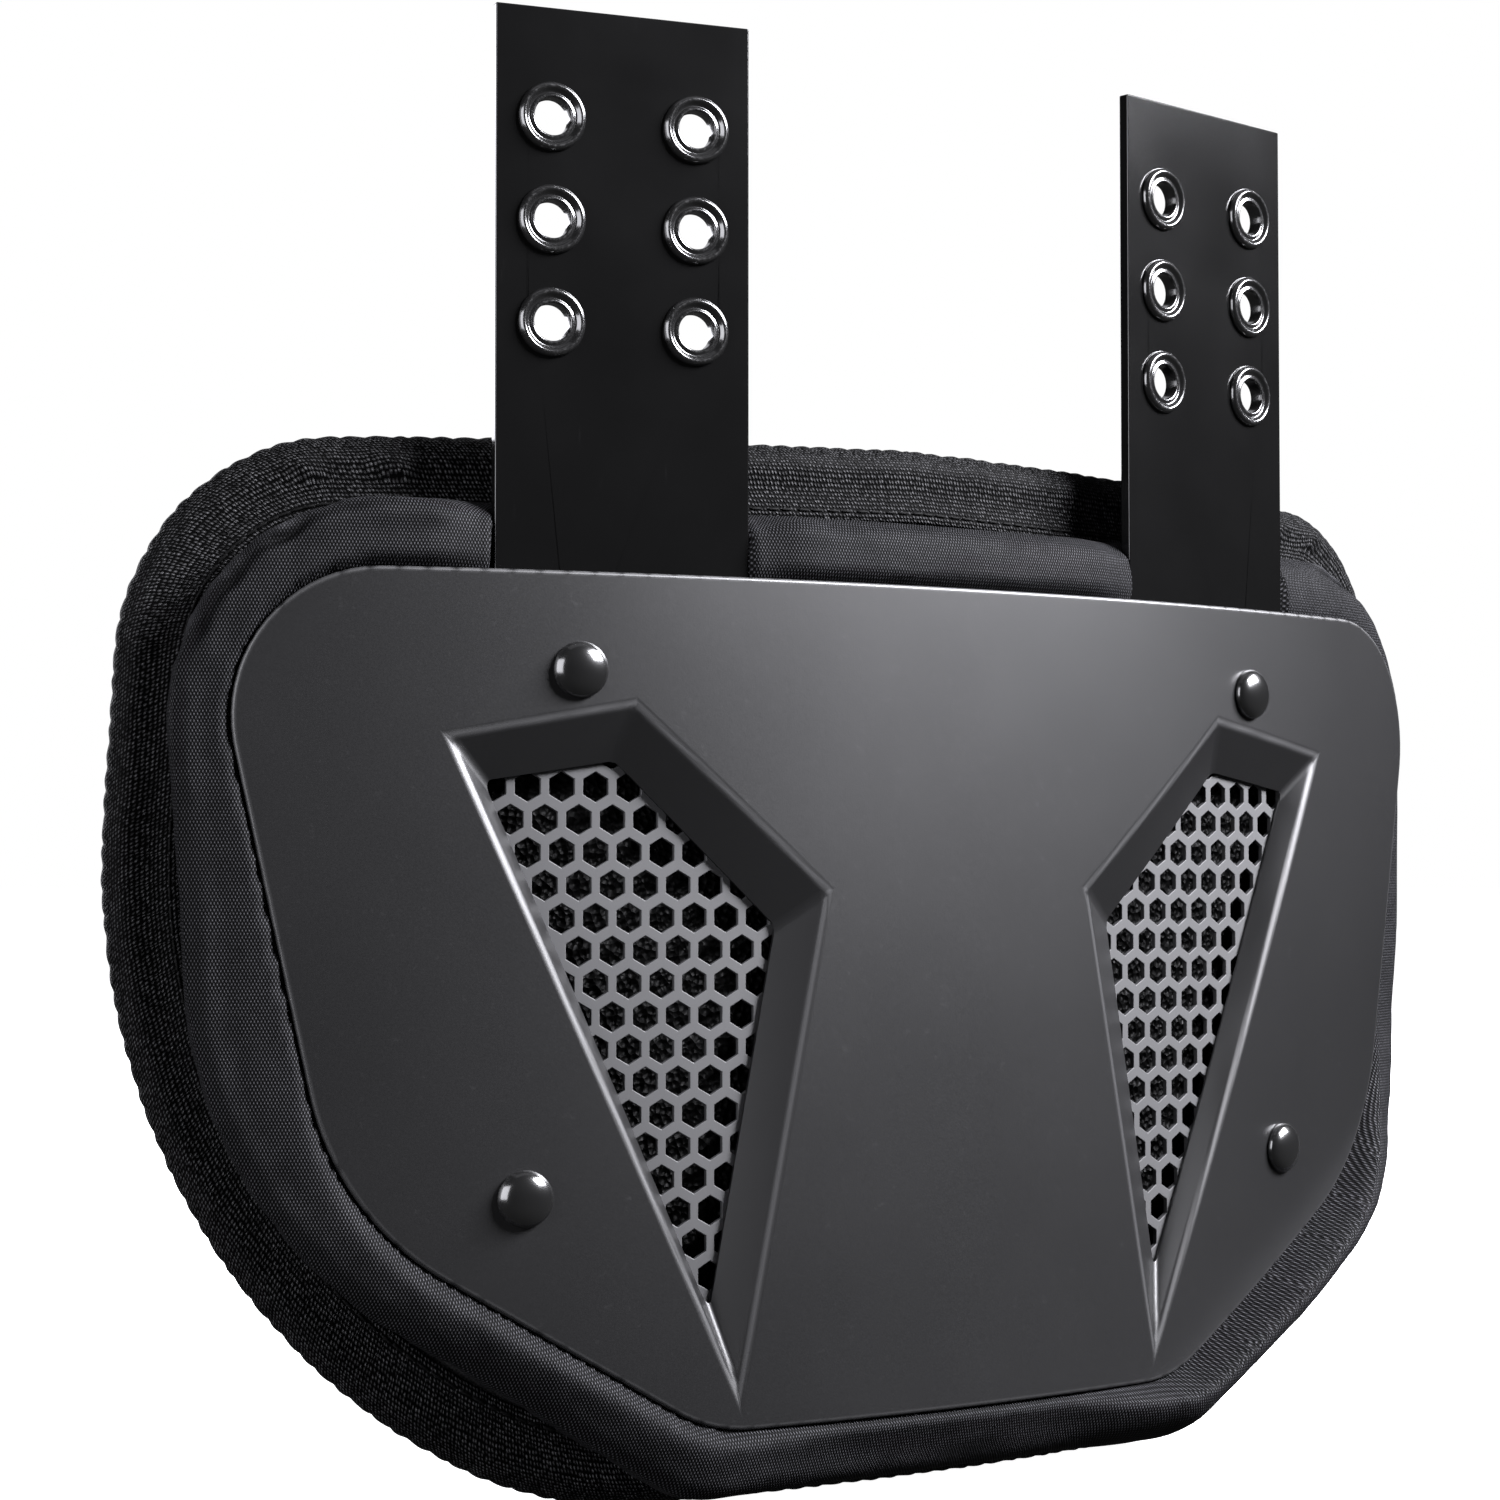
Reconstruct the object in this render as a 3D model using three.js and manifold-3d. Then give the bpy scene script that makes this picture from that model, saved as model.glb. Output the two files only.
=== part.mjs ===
// A football back plate that hangs from a pair of shoulder pads and covers the lower back.
// A curved plastic plate with two grilled vents is riveted to a fabric cushion and a bound rear pad.
// Two flat straps with eyelets rise behind the plate and bolt to the shoulder pads.
// Every piece is drawn as across (along the curve), drop (below the plate's top edge) and
// depth (behind the plate's front face), and then bent round the wearer's back.
import * as THREE from 'three';
import { mergeVertices } from 'three/addons/utils/BufferGeometryUtils.js';
import Module from 'manifold-3d';

const wasm = await Module();
wasm.setup();

// Driving dimensions, in millimetres
const backRadius = 452;
const clearance = 0.3;

const plateHalfWidth = 174;
const plateHeight = 183;
const plateThickness = 3;
const plateEdgeRound = 0.8;

const ventHalfPitch = 78.5;
const ventWidth = 86;
const ventHeight = 148;
const ventTopDrop = 27.8;
const ventDepth = 4.8;
const ventRim = 0.8;

const grilleThickness = 1.2;
const grilleLap = 4.6;
const holePitch = 8;
const holeRowPitch = 7.1;
const holeAcrossCorners = 6.8;

const strapHalfPitch = 82.3;
const strapWidth = 57.4;
const strapThickness = 2.8;
const strapRise = 120.6;
const strapTuck = 28;

const eyeletColumnPitch = 32.6;
const eyeletRowPitch = 22;
const eyeletTopInset = 23.5;
const eyeletRows = 3;
const eyeletHole = 8.1;
const eyeletBarrelWall = 0.9;
const eyeletFlange = 14.9;
const eyeletRise = 1.5;

const rivetHead = 12;
const rivetHeadRise = 3.4;
const rivetShank = 4;
const rivetTail = 9;
const rivetTailThickness = 1.2;
const upperRivetAcross = 93.3;
const upperRivetDrop = 20.9;
const lowerRivetAcross = 105.1;
const lowerRivetDrop = 131.6;
const lowerRivetGrip = 5;

const cushionMargin = 18;
const cushionThickness = 14.7;
const airSpace = 4;

const flangeWidth = 12.5;
const flangeArch = 7;
const rearPadThickness = 10;
const webbingThickness = 1.6;
const webbingWidth = 17;

const roundSides = 12;
const cornerSteps = 10;
const stationCount = 13;

// Corners of the plate's half outline: across and radius as shares of its half width, drop of its height
const plateCorners = [
  { name: 'shoulder', across: 1, drop: 0, radius: 0.18 },
  { name: 'waist', across: 0.83, drop: 0.735, radius: 0.35 },
  { name: 'foot', across: 0.365, drop: 1, radius: 0.195 },
].map((corner) => ({
  across: corner.across * plateHalfWidth,
  drop: corner.drop * plateHeight,
  radius: corner.radius * plateHalfWidth,
}));

// How far each corner of the cushion lies beyond the plate's, as shares of the cushion's margin
const cushionCorners = growCorners(plateCorners, cushionMargin, [
  { name: 'shoulder', out: 0.6, down: -1, radius: 1.02 },
  { name: 'waist', out: 1.71, down: 0.07, radius: 2.05 },
  { name: 'foot', out: 0.3, down: 1.02, radius: -0.75 },
]);

// How far each corner of the bound rear pad lies beyond the cushion's, as shares of the flange's width
const rearCorners = growCorners(cushionCorners, flangeWidth, [
  { name: 'shoulder', out: 0.31, down: -0.65, radius: -0.23 },
  { name: 'waist', out: 1.91, down: 0.75, radius: 3.77 },
  { name: 'foot', out: 2.06, down: 0, radius: 6.2 },
]);

// Corners of a vent as shares of its width and height: where its slope starts and where it ends
const ventCorners = [
  { name: 'inner', across: -0.5, drop: 0.27, floorAcross: -0.375, floorDrop: 0.322 },
  { name: 'foot', across: -0.25, drop: 1, floorAcross: -0.19, floorDrop: 0.881 },
  { name: 'outer', across: 0.5, drop: 0.049, floorAcross: 0.404, floorDrop: 0.112 },
  { name: 'top', across: 0.03, drop: 0, floorAcross: 0.066, floorDrop: 0.082 },
];
const ventSpans = [2, 3, 4];

// How far down the vent's slope, from its mouth (0) to its floor (1), the tray's hidden wall lies
const trayShare = 0.25;

// The cushion's rounded wall: inset as a share of its margin, depth as a share of its thickness
const cushionWall = [
  { inset: 0.62, depth: 0 },
  { inset: 0.36, depth: 0.09 },
  { inset: 0.2, depth: 0.25 },
  { inset: 0.06, depth: 0.45 },
  { inset: 0, depth: 0.62 },
  { inset: 0, depth: 0.93 },
  { inset: 0.07, depth: 1 },
];

const plateBack = plateThickness;
const grilleFront = ventDepth + ventRim + clearance;
const grilleBack = grilleFront + grilleThickness;
const cushionFront = plateBack + clearance;
const cushionBack = cushionFront + cushionThickness;
const rearFront = cushionBack + clearance;
const rearBack = rearFront + rearPadThickness;
const strapReach = strapWidth / 2;
const strapFrontRadius = Math.sqrt((backRadius - plateBack - clearance) ** 2 - strapReach ** 2);
const strapFront = backRadius - strapFrontRadius;
const strapBack = strapFront + strapThickness;
const sides = [{ name: 'left', sign: -1 }, { name: 'right', sign: 1 }];

const platePlastic = material(0x3c3d40, 0.5, 0);
const strapPlastic = material(0x0b0b0c, 0.18, 0);
const eyeletMetal = material(0x121213, 0.2, 0.5);
const rivetMetal = material(0x101011, 0.15, 0.6);
const cushionFabric = material(0x2b2b2f, 0.8, 0);
const rearFabric = material(0x1c1c1e, 0.9, 0);
const bindingWebbing = material(0x151516, 0.75, 0);

function material(color, roughness, metalness) {
  return new THREE.MeshStandardMaterial({ color, roughness, metalness });
}

function growCorners(corners, size, shares) {
  return corners.map((corner, index) => ({
    across: corner.across + shares[index].out * size,
    drop: corner.drop + shares[index].down * size,
    radius: corner.radius + shares[index].radius * size,
  }));
}

// Directions of the two edges that meet at a corner of a half outline that ends on the centre line
function cornerEdges(corners, index) {
  const here = new THREE.Vector2(corners[index].across, corners[index].drop);
  const before = index > 0
    ? new THREE.Vector2(corners[index - 1].across, corners[index - 1].drop)
    : new THREE.Vector2(0, here.y);
  const after = index < corners.length - 1
    ? new THREE.Vector2(corners[index + 1].across, corners[index + 1].drop)
    : new THREE.Vector2(0, here.y);
  const toBefore = before.sub(here).normalize();
  const toAfter = after.sub(here).normalize();
  const halfAngle = Math.acos(toBefore.dot(toAfter)) / 2;
  const inward = toBefore.clone().add(toAfter).normalize();
  return { here, toBefore, toAfter, halfAngle, inward };
}

// The same outline drawn a given distance further in
function insetCorners(corners, distance) {
  return corners.map((corner, index) => {
    const { here, halfAngle, inward } = cornerEdges(corners, index);
    const moved = here.addScaledVector(inward, distance / Math.sin(halfAngle));
    return { across: moved.x, drop: moved.y, radius: Math.max(corner.radius - distance, 1) };
  });
}

// Points of a rounded half outline, from the top of the centre line to its foot
function halfOutline(corners) {
  const points = [new THREE.Vector2(0, corners[0].drop)];
  corners.forEach((corner, index) => {
    const { here, toBefore, toAfter, halfAngle, inward } = cornerEdges(corners, index);
    const centre = here.clone().addScaledVector(inward, corner.radius / Math.sin(halfAngle));
    const tangent = corner.radius / Math.tan(halfAngle);
    const from = here.clone().addScaledVector(toBefore, tangent).sub(centre);
    const to = here.clone().addScaledVector(toAfter, tangent).sub(centre);
    const turn = Math.PI - 2 * halfAngle;
    const direction = Math.sign(from.cross(to));
    for (let step = 0; step <= cornerSteps; step += 1) {
      const angle = direction * turn * step / cornerSteps;
      points.push(from.clone().rotateAround(new THREE.Vector2(), angle).add(centre));
    }
  });
  points.push(new THREE.Vector2(0, corners[corners.length - 1].drop));
  return points;
}

// The drop at which a run of outline points crosses a given across
function dropAt(points, across) {
  for (let index = 1; index < points.length; index += 1) {
    const start = points[index - 1];
    const end = points[index];
    const low = Math.min(start.x, end.x);
    const high = Math.max(start.x, end.x);
    if (across >= low && across <= high && high > low) {
      return THREE.MathUtils.mapLinear(across, start.x, end.x, start.y, end.y);
    }
  }
  return points[points.length - 1].y;
}

// A section holds a top and a bottom drop at each of a row of stations across the piece
function roundedSection(corners, arch = 0) {
  const points = halfOutline(corners);
  const widest = points.reduce((best, point, index) => (point.x > points[best].x ? index : best), 0);
  const upper = points.slice(0, widest + 1);
  const lower = points.slice(widest);
  const reach = points[widest].x;
  const section = [];
  for (let index = -stationCount; index <= stationCount; index += 1) {
    const across = reach * Math.sin((Math.PI / 2) * index / stationCount);
    const lift = arch * (1 - (across / reach) ** 2);
    const atTip = Math.abs(index) === stationCount;
    const top = atTip ? points[widest].y : dropAt(upper, Math.abs(across)) - lift;
    const bottom = atTip ? points[widest].y : dropAt(lower, Math.abs(across));
    section.push({ across, top, bottom });
  }
  return section;
}

// A vent's corners at a share of the way down its slope, from its mouth (0) to its floor (1)
function ventOutline(share) {
  return ventCorners.map((corner) => new THREE.Vector2(
    ventHalfPitch + ventWidth * THREE.MathUtils.lerp(corner.across, corner.floorAcross, share),
    ventTopDrop + ventHeight * THREE.MathUtils.lerp(corner.drop, corner.floorDrop, share),
  ));
}

// The same four corners with each side moved out by a margin
function growOutline(outline, margin) {
  return outline.map((corner, index) => {
    const toBefore = outline[(index + 3) % 4].clone().sub(corner).normalize();
    const toAfter = outline[(index + 1) % 4].clone().sub(corner).normalize();
    const halfAngle = Math.acos(toBefore.dot(toAfter)) / 2;
    const outward = toBefore.add(toAfter).normalize().negate();
    return corner.clone().addScaledVector(outward, margin / Math.sin(halfAngle));
  });
}

// The section of a vent's four corners, on the side of the plate that the sign gives
function ventSection(sign, [inner, foot, outer, top]) {
  const bends = [inner.x, foot.x, top.x, outer.x];
  const section = [];
  ventSpans.forEach((count, span) => {
    for (let step = span === 0 ? 0 : 1; step <= count; step += 1) {
      const across = THREE.MathUtils.lerp(bends[span], bends[span + 1], step / count);
      const topDrop = dropAt([inner, top, outer], across);
      const bottomDrop = dropAt([inner, foot, outer], across);
      section.push({ across: sign * across, top: topDrop, bottom: bottomDrop });
    }
  });
  return sign > 0 ? section : section.reverse();
}

// Where a point of the flat drawing lies once the piece is bent round the back
function bend(across, drop, depth) {
  const angle = across / backRadius;
  const radius = backRadius - depth;
  return new THREE.Vector3(radius * Math.sin(angle), backRadius - radius * Math.cos(angle), -drop);
}

// The points of a section as one loop: along its top and back along its bottom
function sectionLoop(section) {
  const top = section.map((station) => [station.across, station.top]);
  const bottom = section.slice(1, -1).reverse().map((station) => [station.across, station.bottom]);
  return top.concat(bottom);
}

// A closed geometry from triangles given as lists of three points
function geometryOf(triangles) {
  const positions = triangles.flat().flatMap((point) => [point.x, point.y, point.z]);
  const geometry = new THREE.BufferGeometry();
  geometry.setAttribute('position', new THREE.Float32BufferAttribute(positions, 3));
  return weld(geometry);
}

// Shares the vertices that coincide and drops the triangles that this leaves without area
function weld(geometry) {
  const bare = geometry.clone();
  bare.deleteAttribute('normal');
  bare.deleteAttribute('uv');
  const merged = mergeVertices(bare, 1e-4);
  const index = merged.getIndex().array;
  const kept = [];
  for (let start = 0; start < index.length; start += 3) {
    const [a, b, c] = index.slice(start, start + 3);
    if (a !== b && b !== c && c !== a) {
      kept.push(a, b, c);
    }
  }
  merged.setIndex(kept);
  return merged;
}

function wallTriangles(front, back) {
  const triangles = [];
  front.forEach((point, index) => {
    const next = (index + 1) % front.length;
    triangles.push([point, back[next], back[index]]);
    triangles.push([point, front[next], back[next]]);
  });
  return triangles;
}

function capTriangles(section, depth, facesFront) {
  const triangles = [];
  for (let index = 1; index < section.length; index += 1) {
    const [left, right] = [section[index - 1], section[index]];
    const corners = [
      bend(left.across, left.top, depth),
      bend(left.across, left.bottom, depth),
      bend(right.across, right.bottom, depth),
      bend(right.across, right.top, depth),
    ];
    const [a, b, c, d] = facesFront ? corners : corners.reverse();
    triangles.push([a, b, c], [a, c, d]);
  }
  return triangles;
}

// A solid through layers of one section each, from its front layer to its back layer
function layeredSolid(layers) {
  const loops = layers.map(({ section, depth }) => (
    sectionLoop(section).map(([across, drop]) => bend(across, drop, depth))
  ));
  const walls = loops.slice(1).flatMap((loop, index) => wallTriangles(loops[index], loop));
  const first = layers[0];
  const last = layers[layers.length - 1];
  const caps = [
    ...capTriangles(first.section, first.depth, true),
    ...capTriangles(last.section, last.depth, false),
  ];
  return geometryOf([...walls, ...caps]);
}

// A closed ring whose layers go once round its cross-section
function ringSolid(layers) {
  const loops = layers.map(({ section, depth }) => (
    sectionLoop(section).map(([across, drop]) => bend(across, drop, depth))
  ));
  const closed = [...loops, loops[0]];
  return geometryOf(closed.slice(1).flatMap((loop, index) => wallTriangles(closed[index], loop)));
}

function toSolid(geometry) {
  const welded = weld(geometry);
  return new wasm.Manifold(new wasm.Mesh({
    numProp: 3,
    vertProperties: new Float32Array(welded.getAttribute('position').array),
    triVerts: new Uint32Array(welded.getIndex().array),
  }));
}

function toGeometry(solid) {
  const mesh = solid.getMesh();
  const geometry = new THREE.BufferGeometry();
  geometry.setAttribute('position', new THREE.BufferAttribute(mesh.vertProperties, 3));
  geometry.setIndex(new THREE.BufferAttribute(mesh.triVerts, 1));
  return geometry;
}

function subtractAll(geometry, cutters) {
  return cutters.reduce((solid, cutter) => solid.subtract(toSolid(cutter)), toSolid(geometry));
}

// Moves a small piece drawn at the origin, facing the front, to its place on the bent drawing
function placeOnCurve(target, across, drop, depth) {
  target.position.copy(bend(across, drop, depth));
  target.rotation.z = across / backRadius;
  return target;
}

function placedGeometry(geometry, across, drop, depth) {
  const place = placeOnCurve(new THREE.Object3D(), across, drop, depth);
  place.updateMatrix();
  return geometry.clone().applyMatrix4(place.matrix);
}

// A turned piece from rows of radius and depth, with its axis pointing to the front
function turned(profile) {
  const points = profile.map(({ radius, depth }) => new THREE.Vector2(radius, -depth));
  return new THREE.LatheGeometry(points, roundSides).rotateX(Math.PI);
}

function roundBar(radius, front, back) {
  return turned([
    { radius: 0, depth: back },
    { radius, depth: back },
    { radius, depth: front },
    { radius: 0, depth: front },
  ]);
}

function rivetProfile(grip, margin) {
  const shank = rivetShank / 2 + margin;
  const tail = rivetTail / 2 + margin;
  const head = rivetHead / 2;
  const seat = -clearance;
  return [
    { radius: 0, depth: grip + rivetTailThickness + margin },
    { radius: tail, depth: grip + rivetTailThickness + margin },
    { radius: tail, depth: grip - margin },
    { radius: shank, depth: grip - margin },
    { radius: shank, depth: seat },
    { radius: head, depth: seat },
    { radius: head * 0.93, depth: seat - rivetHeadRise * 0.4 },
    { radius: head * 0.6, depth: seat - rivetHeadRise * 0.85 },
    { radius: 0, depth: seat - rivetHeadRise },
  ];
}

const rivets = sides.flatMap(({ name, sign }) => [
  {
    name: `rivet_upper_${name}`,
    across: sign * upperRivetAcross,
    drop: upperRivetDrop,
    grip: strapBack + clearance,
  },
  {
    name: `rivet_lower_${name}`,
    across: sign * lowerRivetAcross,
    drop: lowerRivetDrop,
    grip: plateBack + lowerRivetGrip,
  },
]);

function rivetMeshes() {
  return rivets.map(({ name, across, drop, grip }) => {
    const mesh = new THREE.Mesh(weld(turned(rivetProfile(grip, 0))), rivetMetal);
    mesh.name = name;
    return placeOnCurve(mesh, across, drop, 0);
  });
}

function plateMesh() {
  const edge = plateEdgeRound;
  const rim = roundedSection(plateCorners);
  const blank = layeredSolid([
    { section: roundedSection(insetCorners(plateCorners, edge)), depth: 0 },
    { section: rim, depth: edge },
    { section: rim, depth: plateBack - edge / 2 },
    { section: roundedSection(insetCorners(plateCorners, edge / 2)), depth: plateBack },
  ]);
  let solid = toSolid(blank);
  sides.forEach(({ sign }) => {
    const wall = ventSection(sign, ventOutline(trayShare));
    const tray = layeredSolid([
      { section: wall, depth: plateThickness / 2 },
      { section: wall, depth: ventDepth + ventRim },
    ]);
    solid = solid.add(toSolid(tray));
  });
  sides.forEach(({ sign }) => {
    const overshoot = 0.2;
    const floor = ventSection(sign, ventOutline(1));
    const recess = layeredSolid([
      { section: ventSection(sign, ventOutline(-overshoot)), depth: -overshoot * ventDepth },
      { section: floor, depth: ventDepth },
      { section: floor, depth: ventDepth + 2 * ventRim },
    ]);
    solid = solid.subtract(toSolid(recess));
  });
  rivets.forEach(({ across, drop }) => {
    const bar = roundBar(rivetShank / 2 + clearance, -plateThickness, 2 * plateThickness);
    solid = solid.subtract(toSolid(placedGeometry(bar, across, drop, 0)));
  });
  const mesh = new THREE.Mesh(toGeometry(solid), platePlastic);
  mesh.name = 'plate';
  return mesh;
}

// Centres of the grille's holes that lie within the vent's floor, in staggered rows
function holeCentres() {
  const [inner, foot, outer, top] = ventOutline(1);
  const centres = [];
  const rows = Math.ceil(ventHeight / holeRowPitch);
  const columns = Math.ceil(ventWidth / holePitch);
  for (let row = 0; row <= rows; row += 1) {
    for (let column = 0; column <= columns; column += 1) {
      const stagger = row % 2 === 0 ? 0 : holePitch / 2;
      const across = inner.x + stagger + column * holePitch;
      const drop = ventTopDrop + (row + 0.5) * holeRowPitch;
      const inside = across > inner.x && across < outer.x
        && drop > dropAt([inner, top, outer], across) && drop < dropAt([inner, foot, outer], across);
      if (inside) {
        centres.push({ across, drop });
      }
    }
  }
  return centres;
}

// A flat six-sided bar that passes right through the grille's sheet
function hexagonBar(across, drop) {
  const radius = holeAcrossCorners / 2;
  const points = [0, 1, 2, 3, 4, 5].map((corner) => {
    const angle = Math.PI * corner / 3;
    return new THREE.Vector2(across + radius * Math.sin(angle), radius * Math.cos(angle) - drop);
  });
  const options = { depth: 3 * grilleThickness, bevelEnabled: false };
  const bar = new THREE.ExtrudeGeometry(new THREE.Shape(points), options);
  return bar.translate(0, 0, -grilleThickness);
}

// Bends a flat piece drawn upright, with its thickness towards the front
function bendGeometry(geometry, back) {
  const positions = geometry.getAttribute('position');
  for (let index = 0; index < positions.count; index += 1) {
    const flat = new THREE.Vector3().fromBufferAttribute(positions, index);
    const bent = bend(flat.x, -flat.y, back - flat.z);
    positions.setXYZ(index, bent.x, bent.y, bent.z);
  }
  return weld(geometry);
}

// The grille's sheet laps behind the vent's floor, with sides that bow out by a clearance
function grilleShape(sign) {
  const corners = growOutline(ventOutline(1), grilleLap).map(({ x, y }) => new THREE.Vector2(sign * x, -y));
  const centre = corners.reduce((sum, corner) => sum.add(corner), new THREE.Vector2()).divideScalar(4);
  const shape = new THREE.Shape();
  shape.moveTo(corners[0].x, corners[0].y);
  corners.forEach((corner, index) => {
    const next = corners[(index + 1) % 4];
    const crown = corner.clone().add(next).divideScalar(2);
    const outward = crown.clone().sub(centre).normalize();
    crown.addScaledVector(outward, 2 * clearance);
    shape.quadraticCurveTo(crown.x, crown.y, next.x, next.y);
  });
  return shape;
}

function grilleMesh({ name, sign }) {
  const options = { depth: grilleThickness, bevelEnabled: false, curveSegments: roundSides / 2 };
  const sheet = new THREE.ExtrudeGeometry(grilleShape(sign), options);
  const bars = holeCentres().map(({ across, drop }) => hexagonBar(sign * across, drop));
  const pierced = toGeometry(subtractAll(sheet, bars));
  const mesh = new THREE.Mesh(bendGeometry(pierced, grilleBack), platePlastic);
  mesh.name = `grille_${name}`;
  return mesh;
}

function eyeletPlaces() {
  const places = [];
  for (let row = 0; row < eyeletRows; row += 1) {
    [-1, 1].forEach((column) => places.push({
      across: column * eyeletColumnPitch / 2,
      drop: -strapRise + eyeletTopInset + row * eyeletRowPitch,
    }));
  }
  return places;
}

// A strap is a flat plate that touches the plate's back along its two edges
function strapMesh({ name, sign }) {
  const outline = new THREE.Shape();
  const reach = strapWidth / 2;
  outline.moveTo(-reach, -strapTuck);
  outline.lineTo(reach, -strapTuck);
  outline.lineTo(reach, strapRise);
  outline.lineTo(-reach, strapRise);
  outline.closePath();
  const holes = eyeletPlaces().map(({ across, drop }) => ({
    across,
    drop,
    radius: eyeletHole / 2 + eyeletBarrelWall + clearance,
  }));
  const rivetAcross = sign * (upperRivetAcross - strapHalfPitch);
  holes.push({ across: rivetAcross, drop: upperRivetDrop, radius: rivetShank / 2 + 2 * clearance });
  holes.forEach(({ across, drop, radius }) => {
    const hole = new THREE.Path();
    hole.absarc(across, -drop, radius, 0, 2 * Math.PI, true);
    outline.holes.push(hole);
  });
  const options = { depth: strapThickness, bevelEnabled: false, curveSegments: roundSides / 2 };
  const geometry = new THREE.ExtrudeGeometry(outline, options);
  geometry.rotateX(Math.PI / 2).translate(0, strapThickness, 0);
  const mesh = new THREE.Mesh(weld(geometry), strapPlastic);
  mesh.name = `strap_${name}`;
  return placeOnCurve(mesh, sign * strapHalfPitch, 0, strapFront);
}

function eyeletMeshes({ name, sign }) {
  const bore = eyeletHole / 2;
  const barrel = bore + eyeletBarrelWall;
  const flange = eyeletFlange / 2;
  const seat = -clearance;
  const crest = seat - eyeletRise;
  const geometry = weld(turned([
    { radius: bore, depth: strapThickness - clearance },
    { radius: barrel, depth: strapThickness - clearance },
    { radius: barrel, depth: seat },
    { radius: flange, depth: seat },
    { radius: (flange + barrel) / 2, depth: crest },
    { radius: bore, depth: crest + eyeletRise * 0.6 },
    { radius: bore, depth: strapThickness - clearance },
  ]));
  const angle = sign * strapHalfPitch / backRadius;
  const origin = bend(sign * strapHalfPitch, 0, strapFront);
  return eyeletPlaces().map(({ across, drop }, index) => {
    const mesh = new THREE.Mesh(geometry, eyeletMetal);
    mesh.name = `eyelet_${name}_${index + 1}`;
    mesh.position.set(
      origin.x + across * Math.cos(angle),
      origin.y + across * Math.sin(angle),
      -drop,
    );
    mesh.rotation.z = angle;
    return mesh;
  });
}

// The room that a strap takes in the cushion's front, a clearance larger than the strap
function strapPocket(sign) {
  const floor = strapBack + clearance;
  const room = new THREE.BoxGeometry(
    strapWidth + 2 * clearance,
    floor,
    strapRise + strapTuck + clearance,
  );
  const middleDrop = (strapTuck + clearance - strapRise) / 2;
  return placedGeometry(room, sign * strapHalfPitch, middleDrop, floor / 2);
}

function cushionMesh() {
  const layers = cushionWall.map(({ inset, depth }) => ({
    section: roundedSection(insetCorners(cushionCorners, inset * cushionMargin)),
    depth: cushionFront + depth * cushionThickness,
  }));
  const cutters = sides.flatMap(({ sign }) => {
    const trayRoom = ventSection(sign, growOutline(ventOutline(trayShare), clearance));
    const grilleRoom = ventSection(sign, growOutline(ventOutline(1), grilleLap + 2 * clearance));
    const tray = layeredSolid([
      { section: trayRoom, depth: 0 },
      { section: trayRoom, depth: grilleFront },
    ]);
    const chamber = layeredSolid([
      { section: grilleRoom, depth: 0 },
      { section: grilleRoom, depth: grilleBack + airSpace },
    ]);
    return [strapPocket(sign), tray, chamber];
  });
  rivets.forEach(({ across, drop, grip }) => {
    cutters.push(placedGeometry(turned(rivetProfile(grip, clearance)), across, drop, 0));
  });
  const mesh = new THREE.Mesh(toGeometry(subtractAll(layeredSolid(layers), cutters)), cushionFabric);
  mesh.name = 'cushion';
  return mesh;
}

function rearSection(inset) {
  return roundedSection(insetCorners(rearCorners, inset), flangeArch);
}

// The rear pad is stepped down at its edge by the webbing that wraps it
function rearPadMesh() {
  const edge = webbingThickness + clearance;
  const step = webbingWidth + clearance;
  const middle = (rearFront + rearBack) / 2;
  const layers = [
    { section: rearSection(step), depth: rearFront },
    { section: rearSection(step), depth: rearFront + edge },
    { section: rearSection(edge + rearPadThickness * 0.12), depth: rearFront + edge },
    { section: rearSection(edge), depth: middle },
    { section: rearSection(edge + rearPadThickness * 0.12), depth: rearBack - edge },
    { section: rearSection(step), depth: rearBack - edge },
    { section: rearSection(step), depth: rearBack },
  ];
  const mesh = new THREE.Mesh(layeredSolid(layers), rearFabric);
  mesh.name = 'rear_pad';
  return mesh;
}

function bindingMesh() {
  const wall = webbingThickness;
  const round = rearPadThickness * 0.2;
  const layers = [
    { section: rearSection(webbingWidth), depth: rearFront },
    { section: rearSection(round), depth: rearFront },
    { section: rearSection(0), depth: rearFront + round },
    { section: rearSection(0), depth: rearBack - round },
    { section: rearSection(round), depth: rearBack },
    { section: rearSection(webbingWidth), depth: rearBack },
    { section: rearSection(webbingWidth), depth: rearBack - wall },
    { section: rearSection(wall + round / 2), depth: rearBack - wall },
    { section: rearSection(wall), depth: rearBack - wall - round / 2 },
    { section: rearSection(wall), depth: rearFront + wall + round / 2 },
    { section: rearSection(wall + round / 2), depth: rearFront + wall },
    { section: rearSection(webbingWidth), depth: rearFront + wall },
  ];
  const mesh = new THREE.Mesh(ringSolid(layers), bindingWebbing);
  mesh.name = 'edge_binding';
  return mesh;
}

const group = new THREE.Group();
group.add(plateMesh());
sides.forEach((side) => {
  group.add(grilleMesh(side));
  group.add(strapMesh(side));
  group.add(...eyeletMeshes(side));
});
group.add(...rivetMeshes());
group.add(cushionMesh());
group.add(rearPadMesh());
group.add(bindingMesh());

// The origin is on the floor under the middle of the standing part
group.updateMatrixWorld(true);
const bounds = new THREE.Box3().setFromObject(group);
const middle = bounds.getCenter(new THREE.Vector3());
group.position.set(-middle.x, -middle.y, -bounds.min.z);

export default group;
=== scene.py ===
import bpy
import bmesh
import math
from mathutils import Matrix, Vector, kdtree, noise


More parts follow.
